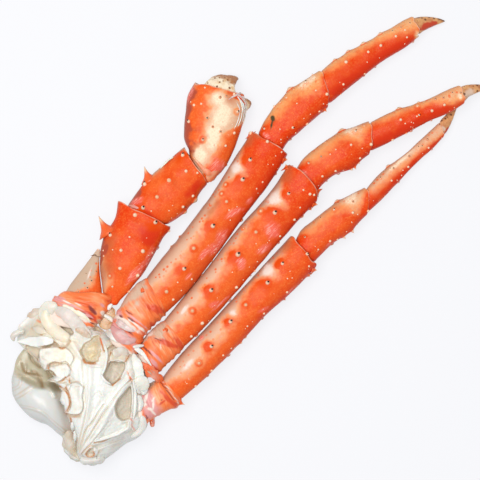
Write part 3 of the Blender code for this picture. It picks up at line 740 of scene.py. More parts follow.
def shell_masks(segment, points, share, angle, offset):
    """The paint of a shell: where it is bare cream, bright, freckled, warm, deep and so on."""
    rough = cloud(points, 5.0, 11) + 0.5 * cloud(points, 2.2, 12)
    flank = smooth_through(FLANK_PLACES, segment["flank"], share)
    inside = flank - angle + 7.0 * rough
    spread = segment.get("spread", 1.0)
    bare = smooth_step(-26.0 * spread, 17.0 + 4.0 * (spread - 1), inside)
    bare = np.maximum(bare, smooth_step(205.0, 230.0, angle))
    if "stripe" in segment:
        front, back = (smooth_through(FLANK_PLACES, edge, share) for edge in segment["stripe"])
        within = np.minimum(angle - front, back - angle) + 8.0 * rough
        bare = np.maximum(bare, smooth_step(-9.0, 9.0, within))
    bright, scar, plum, smudge, shade, red = (
        patch_mask(segment, points, wander * rough, segment.get(name, ()), low, high)
        for name, wander, low, high in SHELL_PATCHES)
    # Deep: the back flank's deeper red, partly the shell's own colour and partly painted shade where the
    # flank turns from the light.
    deep_from = segment.get("deep_from", 98.0)
    deep = (smooth_through(PLACES, segment["deep"], share)
            * smooth_step(deep_from, deep_from + 65.0, angle + 6.0 * rough)
            * (1 - smooth_step(208.0, 235.0, angle)))
    deep = np.maximum(deep, red)
    # Painted shade: brown along the front flank's edge and low on the back, where the shell turns from
    # the light.
    strong, reach = segment.get("brown", (0.55, 17.0))
    brown = strong * bell(angle - 1.0, reach)
    brown = np.maximum(brown, 0.4 * bell(angle - 215.0, 22.0))
    halo = np.zeros_like(share)
    for kind in ("black", "ring"):
        for place, turn, size in segment["studs"].get(kind, ()):
            if kind == "black" and size > 1.8:
                back = place - 1.0 * size / segment["length"]
                far = patch_distance(points, segment, back, turn - 5.0, 2.5 * size, 2.5 * size)
                glow = 0.95 - 0.95 * smooth_step(0.2, 1.35, far + 0.25 * rough)
            else:
                far = patch_distance(points, segment, place, turn, size, size)
                glow = 0.6 * (1 - 0.7 * segment["golden"]) * bell(far - 1.35, 0.55)
            halo = np.maximum(halo, glow)
    rim = smooth_step(segment["length"] - 0.75, segment["length"] - 0.45, offset)
    return {"bare": np.maximum(bare, bright) * (1 - halo) - 0.22 * halo, "bright": bright,
            # under: painted shade, a darker cream low on the front flank.
            "under": 1 - smooth_step(*segment.get("under_to", (22.0, 72.0)), angle + 6.0 * rough),
            "freckled": 0.9 * bell(inside - 20.0, 20.0) * (1 - np.clip(bright, 0, 1)),
            "warm": smooth_through(PLACES, segment["warm"], share),
            "deep": np.clip(deep, 0.0, 1.3), "brown": brown, "halo": halo, "scar": scar,
            "plum": plum, "smudge": smudge, "shade": 0.65 * shade,
            "golden": np.full_like(share, segment["golden"]),
            "grey": np.full_like(share, segment.get("grey", 0.0)),
            "rim": rim * np.clip(0.45 + 0.5 * rough, 0.0, 0.9)}


def shell_relief(segment, points, offset):
    """Height of the shell over its smooth form: slow waves, small lumps and stud mounds."""
    body = (smooth_step(0.5, 3.0, offset)
            * (1 - smooth_step(segment["length"] - 1.5, segment["length"] - 0.8, offset)))
    height = 0.22 * cloud(points, 9.0, 21) + 0.08 * cloud(points, 2.6, 22)
    for place, turn, size in sum(segment["studs"].values(), ()):
        far = patch_distance(points, segment, place, turn, 2.0 * size, 2.0 * size)
        height = height + 0.34 * size * np.exp(-far ** 2)
    return height * body


def shell_piece(segment):
    """One shell tube with its relief and paint, standing for its node."""
    share, angle, scale, offset = shell_rings(segment, SHELL_STEP)
    points = segment_point(segment, share, angle, scale)
    masks = shell_masks(segment, points, share, angle, offset)
    points = points + outward(points) * shell_relief(segment, points, offset)[..., None]
    tube_piece(segment["node"] + "_shell", points, masks, cooked_shell, segment["node"])


for limb in LEGS.values():
    for segment in limb[1:4]:
        if segment["name"] == "propodus":
            segment["deep_from"] = 62.0
        if segment["name"] != "merus":
            segment["spread"] = 1.8
            segment["warm"] = [share + 0.2 for share in segment["warm"]]
        shell_piece(segment)


# ------------------------------------------------------------
# Studs of the walking legs. The shell's spines and tubercles: cream cones that lean to the
# leg's tip, black and horny at the point, with low pale domes and knobs between them.
STUD_SIDES = 12
# Heights of a stud's rings over its root as shares of its height, and widths of its radius.
STUD_RINGS = ((-0.30, 1.30), (0.00, 1.12), (0.16, 0.92), (0.36, 0.78), (0.56, 0.66),
              (0.74, 0.52), (0.88, 0.36), (0.97, 0.16))
# Kind: height as a share of the radius, width share, lean in degrees, how dark, how pale.
STUD_KINDS = {"black": (1.10, 0.64, 32.0, 1.6, 0.8), "ring": (0.50, 0.70, 15.0, 0.0, 0.0),
              "pale": (0.65, 0.70, 18.0, 0.0, 0.7), "knob": (0.60, 1.15, 10.0, 0.35, 0.2),
              "speck": (0.40, 0.80, 10.0, 3.2, 0.0), "grain": (0.45, 1.0, 0.0, 0.0, 0.9),
              "spine": (0.58, 1.15, 24.0, 0.3, 0.0)}
# Grains: radii in mm, and how many to a millimetre of leg; spines of the back for each grain.
GRAIN_SIZES = (0.28, 0.55)
LEG_GRAINS = 0.16
BACK_SPINES = 0.20
SPINE_SIZES = (0.7, 1.3)
# How far the shell rises to a stud, as a share of its radius.
MOUND = 0.32


def surface_frame(segment, place, angle):
    """A point on a segment's form, its outward normal, and the way along to its tip."""
    step_along = 0.5 / segment["length"]
    share = np.array([place, place + step_along, place])
    turn = np.array([angle, angle, angle + 1.5])
    here, ahead, beside = segment_point(segment, share, turn)
    normal = unit(np.cross(ahead - here, beside - here))
    axis = segment["base"] + place * (segment["tip"] - segment["base"])
    normal = normal * np.sign(np.dot(normal, here - axis))
    forward = unit(segment["tip"] - segment["base"])
    return here, normal, unit(forward - normal * np.dot(forward, normal))


def cone_piece(name, roots, ups, forwards, radii, heights, bend, widths, dark, pale, rooted=1.0):
    """Many leaning cones as one mesh of rings, each closed at its root and at its point.

    At a share t of its height a cone's middle lies at its root plus height times (t up and
    bend times t squared forwards), and its ring has the radius times the width given there.
    The mask of height is raised to the power of rooted, so the root's colour reaches higher.
    """
    count, per = len(roots), len(widths) * STUD_SIDES
    heights_at, widths_at = np.array(widths).T
    sides = np.cross(ups, forwards)
    lift = (heights_at[None, :, None] * ups[:, None, :]
            + (bend[:, None] * np.maximum(heights_at, 0.0) ** 2)[..., None] * forwards[:, None, :])
    middle = roots[:, None, :] + heights[:, None, None] * lift
    turn = np.arange(STUD_SIDES) * 2 * np.pi / STUD_SIDES
    spoke = (np.cos(turn)[None, None, :, None] * forwards[:, None, None, :]
             + np.sin(turn)[None, None, :, None] * sides[:, None, None, :])
    rings = middle[:, :, None, :] + (radii[:, None] * widths_at)[..., None, None] * spoke
    tops = roots + heights[:, None] * (ups + bend[:, None] * forwards)
    vertices = np.concatenate((rings.reshape(count, -1, 3), tops[:, None, :]), axis=1)
    ring, side = np.meshgrid(np.arange(len(widths) - 1), np.arange(STUD_SIDES), indexing="ij")
    after = (side + 1) % STUD_SIDES
    quads = np.stack((ring * STUD_SIDES + side, ring * STUD_SIDES + after,
                      (ring + 1) * STUD_SIDES + after, (ring + 1) * STUD_SIDES + side), axis=-1)
    last = (len(widths) - 1) * STUD_SIDES
    side = np.arange(STUD_SIDES)
    fan = np.stack((last + side, last + (side + 1) % STUD_SIDES, np.full(STUD_SIDES, per)), axis=-1)
    start = (np.arange(count) * (per + 1))[:, None, None]
    faces = ((quads.reshape(-1, 4)[None] + start).reshape(-1, 4).tolist()
             + (fan[None] + start).reshape(-1, 3).tolist()
             + (side[None, ::-1] + start[:, 0]).tolist())
    shares = np.concatenate((np.repeat(heights_at, STUD_SIDES), [1.0]))
    shares = np.sign(shares) * np.abs(shares) ** rooted
    shares = shares - 0.05 * (rooted - 1) * (1 - shares)
    masks = {"height": np.tile(shares, count), "dark": np.repeat(dark, per + 1),
             "pale": np.repeat(pale, per + 1)}
    piece = make_piece(name, vertices.reshape(-1, 3), faces, masks, stud_horn)
    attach(piece, "root")


def stud_piece(name, segments, grains, seed):
    """All the studs of a limb as one mesh, with small pale grains scattered on the back."""
    rng = np.random.default_rng(seed)
    rows = []
    for segment in segments:
        for kind, studs in segment["studs"].items():
            rows += [(*surface_frame(segment, place, angle), size, kind)
                     for place, angle, size in studs]
        for _ in range(round(BACK_SPINES * grains * segment["length"])):
            place, angle = rng.uniform(0.03, 0.97), rng.uniform(170.0, 186.0)
            rows.append((*surface_frame(segment, place, angle), rng.uniform(*SPINE_SIZES), "spine"))
        for _ in range(round(grains * segment["length"])):
            place, angle = rng.uniform(0.04, 0.96), rng.uniform(96.0, 178.0)
            size = rng.uniform(*GRAIN_SIZES)
            rows.append((*surface_frame(segment, place, angle), size, "grain"))
    roots, ups, forwards = (np.array([row[n] for row in rows]) for n in range(3))
    sizes = np.array([row[3] for row in rows])
    kinds = np.array([STUD_KINDS[row[4]] for row in rows])
    mounds = np.where(kinds[:, 0] == STUD_KINDS["grain"][0], 0.0, MOUND * sizes)
    roots = roots + ups * mounds[:, None]
    bend = np.tan(np.radians(kinds[:, 2]))
    cone_piece(name, roots, ups, forwards, sizes * kinds[:, 1], sizes * kinds[:, 0], bend,
               STUD_RINGS, kinds[:, 3], kinds[:, 4])


# Horn of the studs: orange at the root, cream above it, black at the point.
STUD_ROOT = (0.78, 0.115, 0.022)
STUD_CREAM = (0.74, 0.45, 0.26)
STUD_PALE = (0.84, 0.66, 0.48)
HORN_BLACK = (0.022, 0.012, 0.008)

stud_horn, nodes, shader, spot = new_material("stud_horn")
height = nodes.mask("height")
body = nodes.coats(STUD_CREAM, ("pale", STUD_PALE))
point = nodes.times(nodes.stretch(height, 0.70, 0.88), nodes.mask("dark"))
horn = nodes.coats(STUD_ROOT, (nodes.stretch(height, -0.1, 0.35), body), (point, HORN_BLACK))
nodes.finish(shader, horn, nodes.noise(spot, 900.0), 0.2, 0.22, Specular_IOR_Level=0.3)

# A thorn's rings: height as a share of its length, and width as a share of its root's radius.
THORN_RINGS = ((-0.22, 1.90), (0.0, 1.30), (0.10, 0.98), (0.24, 0.70), (0.42, 0.48),
               (0.62, 0.30), (0.82, 0.15), (0.95, 0.06))
THORN_BEND = 0.10
THORN_DARK = 0.4
THORN_PALE = 0.1
THORN_ROOTED = 3.0


def thorn_piece(name, segments):
    """The long thorns of an arm, each leaning from straight out to the tip of its segment."""
    rows = []
    for segment in segments:
        forward = bearing(segment["heading"])
        for place, angle, length, radius, lean in segment.get("thorns", ()):
            root = segment_point(segment, place, angle)
            out = unit(root - segment["base"] - place * (segment["tip"] - segment["base"]))
            lean = math.radians(lean)
            aim = unit(out * math.cos(lean) + forward * math.sin(lean))
            side = unit(forward - aim * np.dot(forward, aim))
            rows.append((root, aim, side, radius, length))
    roots, aims, sides, radii, lengths = (np.array([row[n] for row in rows]) for n in range(5))
    bend, dark, pale = (np.full(len(rows), value) for value in (THORN_BEND, THORN_DARK, THORN_PALE))
    cone_piece(name, roots - 0.06 * lengths[:, None] * sides, aims, sides, radii, lengths, bend,
               THORN_RINGS, dark, pale, THORN_ROOTED)


for number, (leg, limb) in enumerate(LEGS.items()):
    stud_piece(f"{leg}_studs", limb[1:4], LEG_GRAINS, 30 + number)
    thorn_piece(f"{leg}_thorns", limb[:4])


# ------------------------------------------------------------
# Claw arm. Two short flared shells with long thorns on their front, then the palm of the claw,
# orange with a broad cream stripe; soft skin shows where they are jointed.
CLAW_ARM = dict(
    start=(-113.3, 6.7, 22.5), face=135.4,
    segments=(
        dict(name="merus", length=68.4, heading=26.8, face=111.9, height=16.5, thick=0.64,
             front=(6.6, 10.9, 19.3, 23.7, 21.1, 23.6), back=(5.6, 8.3, 13.5, 16.1, 18.3, 20.6),
             flank=(-10, 34, 56, 38, 18, 6, -20, -30, -30, -30, -30), golden=0.2,
             shades=((0.5, 40, 13, 8), (0.3, 42, 9, 8), (0.66, 26, 6, 4)),
             warm=(0.65, 0.5, 0.62, 0.75, 0.85, 0.9), deep=(0.7, 0.6, 0.3, 0.3, 0.6, 0.9),
             plums=((0.46, 10, 14, 5), (0.5, 36, 4, 3)),
             scars=((0.55, 150, 9, 3), (0.33, 122, 8, 2.5, 10), (0.4, 140, 8, 3)),
             reds=((0.8, 110, 8, 9), (0.62, 20, 8, 4)), thorns=((0.69, 8, 12.5, 4.6, 33),),
             studs=dict(
                 black=((0.65, 40, 2.1), (0.975, 112, 2.4)),
                 pale=((0.545, 75, 1.7), (0.36, 83, 1.8), (0.15, 75, 1.1), (0.71, 80, 1),
                       (0.95, 75, 2.1), (0.62, 115, 2.2), (0.34, 138, 2.3), (0.13, 165, 2.3),
                       (0.43, 35, 0.9), (0.48, 30, 0.9), (0.52, 58, 0.8), (0.95, 172, 1.9),
                       (0.6, 140, 0.9), (0.64, 150, 1)),
                 ring=((0.255, 62, 1.2),))),
        dict(name="carpus", length=53, heading=3, face=82, height=15.5, thick=0.74,
             front=(15.6, 16.6, 18.1, 18, 17, 16.2), back=(16.4, 17.6, 18.9, 18.1, 16.6, 16.2),
             flank=(-30, -20, -20, 0, 24, 22, 0, -20, -20, 5, 25), golden=0.2,
             warm=(0.8, 0.7, 0.62, 0.6, 0.6, 0.7), deep=(0.9, 0.8, 0.3, 0.5, 0.8, 0.7),
             bright=((0.58, 8, 4, 2.4),), plums=((0.15, 28, 7, 5), (0.06, 20, 5, 5)),
             scars=((0.1, 42, 6, 3, 40), (0.25, 165, 7, 2)),
             reds=((0.03, 90, 3, 20), (0.75, 130, 10, 5)), thorns=((0.42, 10, 9.5, 3.8, 22),),
             studs=dict(
                 black=((0.075, 75, 2.4), (0.325, 30, 2.5), (0.93, 48, 2.2), (0.44, 140, 1.8)),
                 ring=((0.3, 82, 1.9), (0.575, 75, 2.3)),
                 pale=((0.835, 86, 1.7), (0.95, 105, 1.2), (0.67, 142, 1.8), (0.09, 92, 1)),
                 knob=((0.65, 170, 2.4), (0.4, 172, 1.8))))))
CLAW_HAND = dict(
    start=(2.4, 37, 15.5), face=82,
    segments=(
        dict(name="palm", length=60.6, heading=36.2, face=125, height=15, thick=0.62,
             front=(16.5, 18, 18.5, 19.4, 20.3, 17.4), back=(13.1, 17.8, 22.1, 24.1, 24, 20.7),
             flank=(-30, -30, -30, -30, -30, -30, -30, -20, 10, 20, 0), golden=0.25, grey=0.12,
             stripe=(
                 (55, 62, 74, 82, 81, 85, 86, 84, 80, 82, 98),
                 (108, 106, 110, 115, 122, 150, 176, 182, 172, 114, 102)),
             warm=(0.55, 0.55, 0.45, 0.35, 0.4, 0.5), deep=(0, 0.1, 0.3, 0.3, 0.2, 0),
             bright=((0.12, 84, 9, 8), (0.4, 100, 15, 8), (0.68, 107, 14, 10), (0.86, 96, 6, 8)),
             plums=((0.1, 7, 9, 11), (0.35, 5, 16, 11), (0.62, 3, 12, 11), (0.84, 7, 10, 9)),
             shades=((0.9, 117, 5.5, 5),), scars=((0.16, 138, 5, 8, 20), (0.86, 18, 7, 3)),
             reds=((0.92, 124, 4, 3),),
             studs=dict(
                 black=((0.32, 85, 1.7), (0.49, 40, 2), (0.76, 135, 1.7)),
                 speck=((0.6, 85, 1.5), (0.515, 95, 1), (0.49, 110, 1.1), (0.885, 97, 1.2),
                        (0.915, 108, 1.1)),
                 pale=((0.52, 142, 1.7), (0.365, 130, 1.5), (0.755, 68, 1.3), (0.72, 50, 1.6),
                       (0.75, 38, 1), (0.96, 65, 1.1), (0.96, 125, 1.6)))),))
CLAW_GRAINS = 0.10
CLAW = solve_limb("claw", CLAW_ARM) + solve_limb("claw", CLAW_HAND)
for segment in CLAW:
    segment["deep_from"] = 130.0
    shell_piece(segment)

stud_piece("claw_studs", CLAW, CLAW_GRAINS, 40)
thorn_piece("claw_thorns", CLAW)


# ------------------------------------------------------------
# Dactyls. The horny claw that ends each walking leg: tan with dark pits, deep red along the
# back edge and dark brown at the point, seated in the rim of the propodus.
HORN_TAN = (0.66, 0.34, 0.14)
HORN_OCHRE = (0.50, 0.20, 0.08)
HORN_GREY = (0.62, 0.44, 0.33)
HORN_RED = (0.50, 0.055, 0.022)
HORN_BROWN = (0.12, 0.042, 0.018)
# Spots: share of length, angle round, radius in mm. Tip is the share where brown begins.
DACTYL_LOOKS = dict(
    leg_1=dict(
        tip=0.86, red=((0.35, 125, 8, 3.4), (0.62, 112, 3.5, 2)),
        spots=((0.03, 10, 0.9), (0.18, 22, 1.1), (0.27, 34, 0.8), (0.36, 58, 0.9), (0.5, 28, 0.9),
               (0.65, 45, 0.9), (0.42, 12, 0.7), (0.1, 60, 0.5))),
    leg_2=dict(
        tip=0.62, grey=((0.22, 100, 5, 3.5),),
        spots=((0.03, 92, 1.1), (0.3, 18, 0.8), (0.5, 112, 0.9), (0.42, 48, 0.6), (0.12, 30, 0.5),
               (0.55, 40, 0.7), (0.36, 75, 0.5))),
    leg_3=dict(
        tip=0.7, red=((0.1, 150, 4, 2),), grey=((0.05, 100, 1.6, 2.4),),
        spots=((0.25, 20, 1.1), (0.4, 30, 1.2), (0.3, 62, 0.8), (0.16, 35, 1), (0.55, 25, 0.9),
               (0.5, 100, 0.9), (0.38, 75, 0.6), (0.62, 60, 0.8))))

dactyl_horn, nodes, shader, spot = new_material("dactyl_horn")
horn = nodes.coats(HORN_TAN, (nodes.stretch(nodes.noise(spot, 260.0, 4.0), 0.35, 0.70), HORN_OCHRE),
                   ("grey", HORN_GREY), (nodes.ragged(spot, "red", 300.0, 0.5), HORN_RED),
                   (nodes.ragged(spot, "point", 350.0, 0.8), HORN_BROWN), ("spots", HORN_BROWN))
nodes.finish(shader, horn, nodes.noise(spot, 500.0, 3.0), 0.2, 0.25, Specular_IOR_Level=0.3)

for leg, limb in LEGS.items():
    segment = limb[4]
    looks = DACTYL_LOOKS[leg]
    share, angle, scale, offset = shell_rings(segment, FINE_STEP, POINTED)
    points = segment_point(segment, share, angle, scale)
    rough = cloud(points, 2.0, 51)
    pits = patch_mask(segment, points, 0.15 * rough,
                      [(*at, size, size) for *at, size in looks["spots"]], 0.7, 1.1)
    masks = {"red": patch_mask(segment, points, 0.2 * rough, looks.get("red", ())),
             "grey": patch_mask(segment, points, 0.2 * rough, looks.get("grey", ())),
             "point": smooth_step(looks["tip"] - 0.12, looks["tip"] + 0.2,
                                  share + 0.08 * rough + 0.1 * np.cos(np.radians(angle))),
             "spots": pits}
    points = points + outward(points) * (0.12 * rough - 0.25 * pits)[..., None]
    tube_piece(f"{leg}_dactyl_horn", points, masks, dactyl_horn, segment["node"])


# ------------------------------------------------------------
# Claw fingers. The two curved fingers hook down from the far end of the palm: chalky tan
# horn with brown pits.
FINGERS = (
    dict(node="claw_finger_moving", wide=(14.5, 7), thick=(6.5, 3.2), facing=137,
         points=((46, 65, 19), (57.5, 78, 18.5), (67.5, 68.5, 4))),
    dict(node="claw_finger_fixed", wide=(6.5, 4.2), thick=(5, 2.6), facing=110,
         points=((52, 51, 12), (61.5, 51, 12.5), (61.5, 50, 3.4))))
FINGER_RINGS = 60
FINGER_SIDES = 96
CHALK = (0.86, 0.74, 0.54)
CHALK_OCHRE = (0.70, 0.42, 0.18)
PIT_BROWN = (0.22, 0.07, 0.025)
POINT_BROWN = (0.42, 0.16, 0.05)

finger_horn, nodes, shader, spot = new_material("finger_horn")
pits = nodes.group(freckles, Vector=spot, Scale=330.0, Size=0.30, Share=0.30)
horn = nodes.coats(CHALK, (nodes.stretch(nodes.noise(spot, 200.0, 4.0), 0.46, 0.74), CHALK_OCHRE),
                   (pits, PIT_BROWN), (nodes.ragged(spot, "point", 260.0, 1.2), POINT_BROWN))
nodes.finish(shader, horn, nodes.noise(spot, 500.0, 3.0), 0.2, 0.35)
nodes.relief(shader, nodes.noise(spot, 320.0, 4.0, 0.6), 0.0006, 1.0)


def finger_points(sizes, share, angle):
    """A flattened tapering tube along the quadratic curve through a finger's three points."""
    first, middle, last = (np.array(point) for point in sizes["points"])
    share = share[..., None]
    centre = ((1 - share) ** 2 * first + 2 * share * (1 - share) * middle + share ** 2 * last)
    ahead = 2 * (1 - share) * (middle - first) + 2 * share * (last - middle)
    ahead = ahead / np.linalg.norm(ahead, axis=-1, keepdims=True)
    across = bearing(sizes["facing"])
    across = across - ahead * (ahead @ across)[..., None]
    across = across / np.linalg.norm(across, axis=-1, keepdims=True)
    rounding = np.sqrt(1 - (0.995 * share) ** 4)
    wide = (sizes["wide"][0] + share * (sizes["wide"][1] - sizes["wide"][0])) * rounding
    thick = (sizes["thick"][0] + share * (sizes["thick"][1] - sizes["thick"][0])) * rounding
    angle = np.radians(angle)[..., None]
    return centre + wide * np.cos(angle) * across + thick * np.sin(angle) * np.cross(ahead, across)


for sizes in FINGERS:
    share, angle = np.meshgrid(1 - np.linspace(1, 0, FINGER_RINGS) ** 1.3,
                               np.arange(FINGER_SIDES) * 360.0 / FINGER_SIDES, indexing="ij")
    points = finger_points(sizes, share, angle)
    rough = cloud(points, 3.0, 61) + 0.5 * cloud(points, 1.4, 62)
    points = points + outward(points) * (0.35 * rough * smooth_step(0.0, 0.1, share))[..., None]
    masks = {"point": smooth_step(0.30, 0.75, share + 0.1 * rough)}
    tube_piece(sizes["node"] + "_horn", points, masks, finger_horn, sizes["node"])


# ------------------------------------------------------------
# Claw ischium. The flat cream plate behind the claw's merus, orange along its back edge,
# folded back over its coxa.
CLAW_ISCHIUM = dict(
    start=(-127.4, 23.5, 22), face=135.4,
    segments=(
        dict(name="ischium", length=36.3, heading=29.9, face=138, height=20, thick=0.52,
             front=(15.2, 13.5, 10, 6.7, 3.6, 2), back=(13.4, 12.2, 9, 5, 2.2, 1),
             flank=(20, 66, 92, 104, 112, 118, 130, 150, 160, 170, 175), golden=0, grey=0.85,
             warm=(0.1, 0.05, 0.05, 0.1, 0.2, 0.2), deep=(0.2, 0.2, 0.2, 0.2, 0.2, 0.2),
             bright=((0.5, 84, 6, 0.9),), brown=(0.3, 14), under_to=(0, 40),
             studs=dict(
                 speck=((0.18, 93, 1.3), (0.34, 100, 1.3), (0.46, 70, 0.8), (0.08, 75, 0.7),
                        (0.55, 118, 1)))),))
ischium = solve_limb("claw", CLAW_ISCHIUM)
shell_piece(ischium[0])
stud_piece("claw_ischium_specks", ischium, 0.0, 45)


# ------------------------------------------------------------
# Coxae. The short joints between shoulder and limbs, under wrinkled skin that is orange to
# dark red on top, tan on the flank, and torn to white and pink membrane at the shoulder.
CLAW_BASE = dict(
    start=(-144.8, 10.9, 26), face=127,
    segments=(
        dict(name="coxa", length=21.1, heading=22.8, face=135.4, height=23.5, thick=0.5,
             front=(23, 24, 24.6, 24.8, 25, 24.6), back=(13, 13.4, 14.4, 15.6, 16.6, 17.2)),))
# Paint of the coxae: patches of each colour, and folds given by place at the top, slant in
# shares of length over 90 degrees, width and height in mm.
COXA_LOOKS = dict(
    leg_1=dict(
        white=((0.35, 62, 2.6, 14), (0.44, 95, 1.2, 10), (0.03, 0, 2, 9)), buff=((0.6, 70, 1.4, 9),),
        pink=((0.15, 76, 5, 15), (0.5, 85, 0.8, 12), (0.36, 30, 5, 5)),
        tan=((0.8, 22, 15, 11), (0.55, 15, 6, 5)),
        red=((0.9, 118, 3.4, 9, -20), (0.62, 160, 3, 5), (0.46, 85, 1, 8)),
        slit=((0.455, 77, 0.9, 4.5), (0.385, 45, 0.9, 2.6), (0.265, 82, 0.6, 8), (0.52, 60, 0.4, 4)),
        folds=((0.22, 0.06, 1.3, 1), (0.33, 0.08, 1.2, 1.2), (0.46, 0.06, 1, 0.9),
               (0.78, -0.14, 1.6, 0.9), (0.9, -0.12, 1.2, 0.8), (0.98, -0.05, 1, 0.7))),
    leg_2=dict(
        white=((0.55, 20, 3, 3), (0.54, 90, 0.6, 3, 40)), buff=((0.45, 60, 2, 6),),
        pink=((0.3, 102, 1.2, 7), (0.17, 113, 1.8, 5)), tan=((0.78, 22, 9, 10), (0.3, 10, 5, 5)),
        red=((0.74, 100, 2.6, 10, -30), (0.1, 125, 2.5, 6), (0.95, 125, 2.2, 8)),
        slit=((0.22, 75, 0.6, 6), (0.62, 70, 0.4, 4, -20)),
        folds=((0.12, 0.05, 1, 0.7), (0.42, -0.1, 0.9, 0.5), (0.55, -0.12, 0.9, 0.5),
               (0.7, -0.14, 1.3, 0.9), (0.86, -0.08, 1, 0.8))),
    leg_3=dict(
        buff=((0.5, 84, 4, 9), (0.66, 55, 3.4, 5)),
        white=((0.08, 60, 3, 8), (0.3, 70, 1.2, 5, 50), (0.38, 97, 0.9, 4.5, 38),
               (0.24, 102, 1.5, 3, -40), (0.17, 84, 2.4, 2), (0.27, 121, 0.9, 4, -10),
               (0.45, 86, 2.6, 0.8, -20), (0.93, 95, 0.4, 15)),
        pink=((0.3, 85, 7, 12), (0.16, 110, 4, 7), (0.24, 60, 4, 6)), tan=((0.62, 15, 5, 5),),
        red=((0.78, 118, 2.4, 12, -10), (0.07, 106, 1.1, 1.5), (0.16, 112, 1.1, 1.4),
             (0.17, 133, 1.3, 1.6), (0.06, 127, 1.1, 1.5), (0.6, 108, 4, 1.2)),
        slit=((0.885, 90, 0.35, 14), (0.62, 100, 0.6, 0.6), (0.1, 125, 0.6, 3)),
        folds=((0.8, -0.05, 1.6, 0.6), (0.9, -0.03, 0.9, 0.6), (0.99, -0.03, 0.9, 0.6),
               (0.25, 0.1, 0.9, 0.5))),
    claw=dict(
        buff=((0.75, 50, 5, 9), (0.45, 40, 4, 11), (0.6, 78, 2.5, 9), (0.97, 108, 3.2, 5, 20),
              (0.7, 130, 4, 5), (0.25, 30, 4, 9)),
        white=((0.34, 70, 2, 7), (0.31, 92, 2, 6, 10), (0.3, 106, 1.6, 4, 10), (0.64, 58, 0.7, 4),
               (0.7, 80, 0.6, 3), (0.67, 146, 2, 2.4), (0.24, 50, 3, 7), (0.5, 62, 0.6, 4),
               (0.04, 40, 3.2, 14), (0.12, 18, 3.4, 8)),
        pink=((0.46, 53, 1.4, 8), (0.57, 75, 1, 9), (0.6, 36, 2.2, 7), (0.43, 104, 1.2, 5),
              (0.76, 40, 1.2, 6), (0.86, 128, 1, 3, 10)),
        tan=((0.3, 165, 4, 5), (0.62, 158, 3.2, 3)),
        red=((0.49, 102, 0.7, 5), (0.47, 120, 1, 4), (0.51, 148, 0.8, 4), (0.38, 132, 1.2, 4, 20),
             (0.56, 100, 0.5, 6), (0.34, 80, 0.5, 5), (0.95, 160, 1, 5)),
        slit=((0.66, 109, 1.7, 5.2, 23), (0.33, 84, 0.5, 1.8), (0.37, 118, 0.6, 2.4), (0.47, 90, 0.4, 3),
              (0.2, 138, 0.5, 3)),
        folds=((0.24, 0.06, 1, 0.7), (0.4, 0.05, 0.9, 0.7), (0.56, 0.05, 0.9, 0.7),
               (0.74, 0.03, 0.9, 0.7), (0.9, 0.02, 0.9, 0.5))))
SKIN_ORANGE = (0.83, 0.17, 0.042)
SKIN_BUFF = (0.87, 0.40, 0.19)
SKIN_RED = (0.60, 0.045, 0.015)
SKIN_WHITE = (0.80, 0.70, 0.62)
SKIN_PINK = (0.70, 0.31, 0.30)
SKIN_TAN = (0.62, 0.42, 0.30)
SLIT_RED = (0.23, 0.040, 0.034)

joint_skin, nodes, shader, spot = new_material("joint_skin")
strand_place = nodes.carried_place("along", "around")
strands = nodes.noise(strand_place, 1.0, 4.0, 0.6)
buff = nodes.calculate("MULTIPLY_ADD", nodes.mask("buff"), 0.5, nodes.stretch(strands, 0.52, 0.76))
skin = nodes.coats(SKIN_ORANGE, (buff, SKIN_BUFF),
                   (nodes.times(nodes.stretch(strands, 0.46, 0.30), 0.6), SKIN_RED))
for mask_name, colour, amount, strength in (
        ("tan", SKIN_TAN, 0.8, 1.0), ("red", SKIN_RED, 0.9, 0.8), ("pink", SKIN_PINK, 1.1, 0.95),
        ("white", SKIN_WHITE, 1.6, 0.95)):
    torn = nodes.ragged(strand_place, mask_name, 1.4, amount, 0.6)
    skin = nodes.coats(skin, (nodes.times(torn, strength), colour))
skin = nodes.coats(skin, ("slit", SLIT_RED))
nodes.finish(shader, skin, strands, 0.25, 0.22, Specular_IOR_Level=0.3)
nodes.relief(shader, strands, 0.0006, 0.5)

STRAND_WIDTH = 1.5
STRAND_LENGTH = 14.0
coxa_points = []
for leg, segment in (*((leg, limb[0]) for leg, limb in LEGS.items()),
                     ("claw", solve_limb("claw", CLAW_BASE)[0])):
    looks = COXA_LOOKS[leg]
    share, angle, scale, offset = shell_rings(segment, FINE_STEP, SLEEVE)
    points = segment_point(segment, share, angle, scale)
    girth = (max(segment["front"]) + max(segment["back"])) * 1.57
    rough = cloud(points, 4.0, 71) + 0.5 * cloud(points, 1.8, 72)
    masks = {name: patch_mask(segment, points, 0.3 * rough, looks[name], 0.3, 1.4)
             for name in ("buff", "white", "pink", "tan", "red")}
    masks["slit"] = patch_mask(segment, points, 0.2 * rough, looks["slit"], 0.6, 1.1)
    masks["white"] = np.maximum(masks["white"], 1 - smooth_step(-0.02, 0.05, share + 0.02 * rough))
    around = (angle + 90.0) / 360.0 * 2 * girth
    along = share * segment["length"] + 0.25 * around
    masks["along"] = along / STRAND_WIDTH / 2
    masks["around"] = around / STRAND_LENGTH / 2
    strand = cloud(np.stack((along / 1.1, around / 12.0, 0 * along), axis=-1), 1.0, 73)
    lift = 0.16 * strand + 0.3 * cloud(points, 7.0, 74) - 0.6 * masks["slit"]
    for place, slant, wide, high in looks["folds"]:
        from_fold = (share - place - slant * (angle - 90.0) / 90.0) * segment["length"]
        wander = from_fold + 0.8 * rough
        lift = lift + high * bell(wander, wide) * smooth_step(-20.0, 30.0, angle)
    body = (smooth_step(0.5, 2.5, offset)
            * (1 - smooth_step(segment["length"] - 1.2, segment["length"] - 0.6, offset)))
    points = points + outward(points) * (lift * body)[..., None]
    coxa_points.append(points.reshape(-1, 3))
    tube_piece(f"{segment['node']}_skin", points, masks, joint_skin, segment["node"])


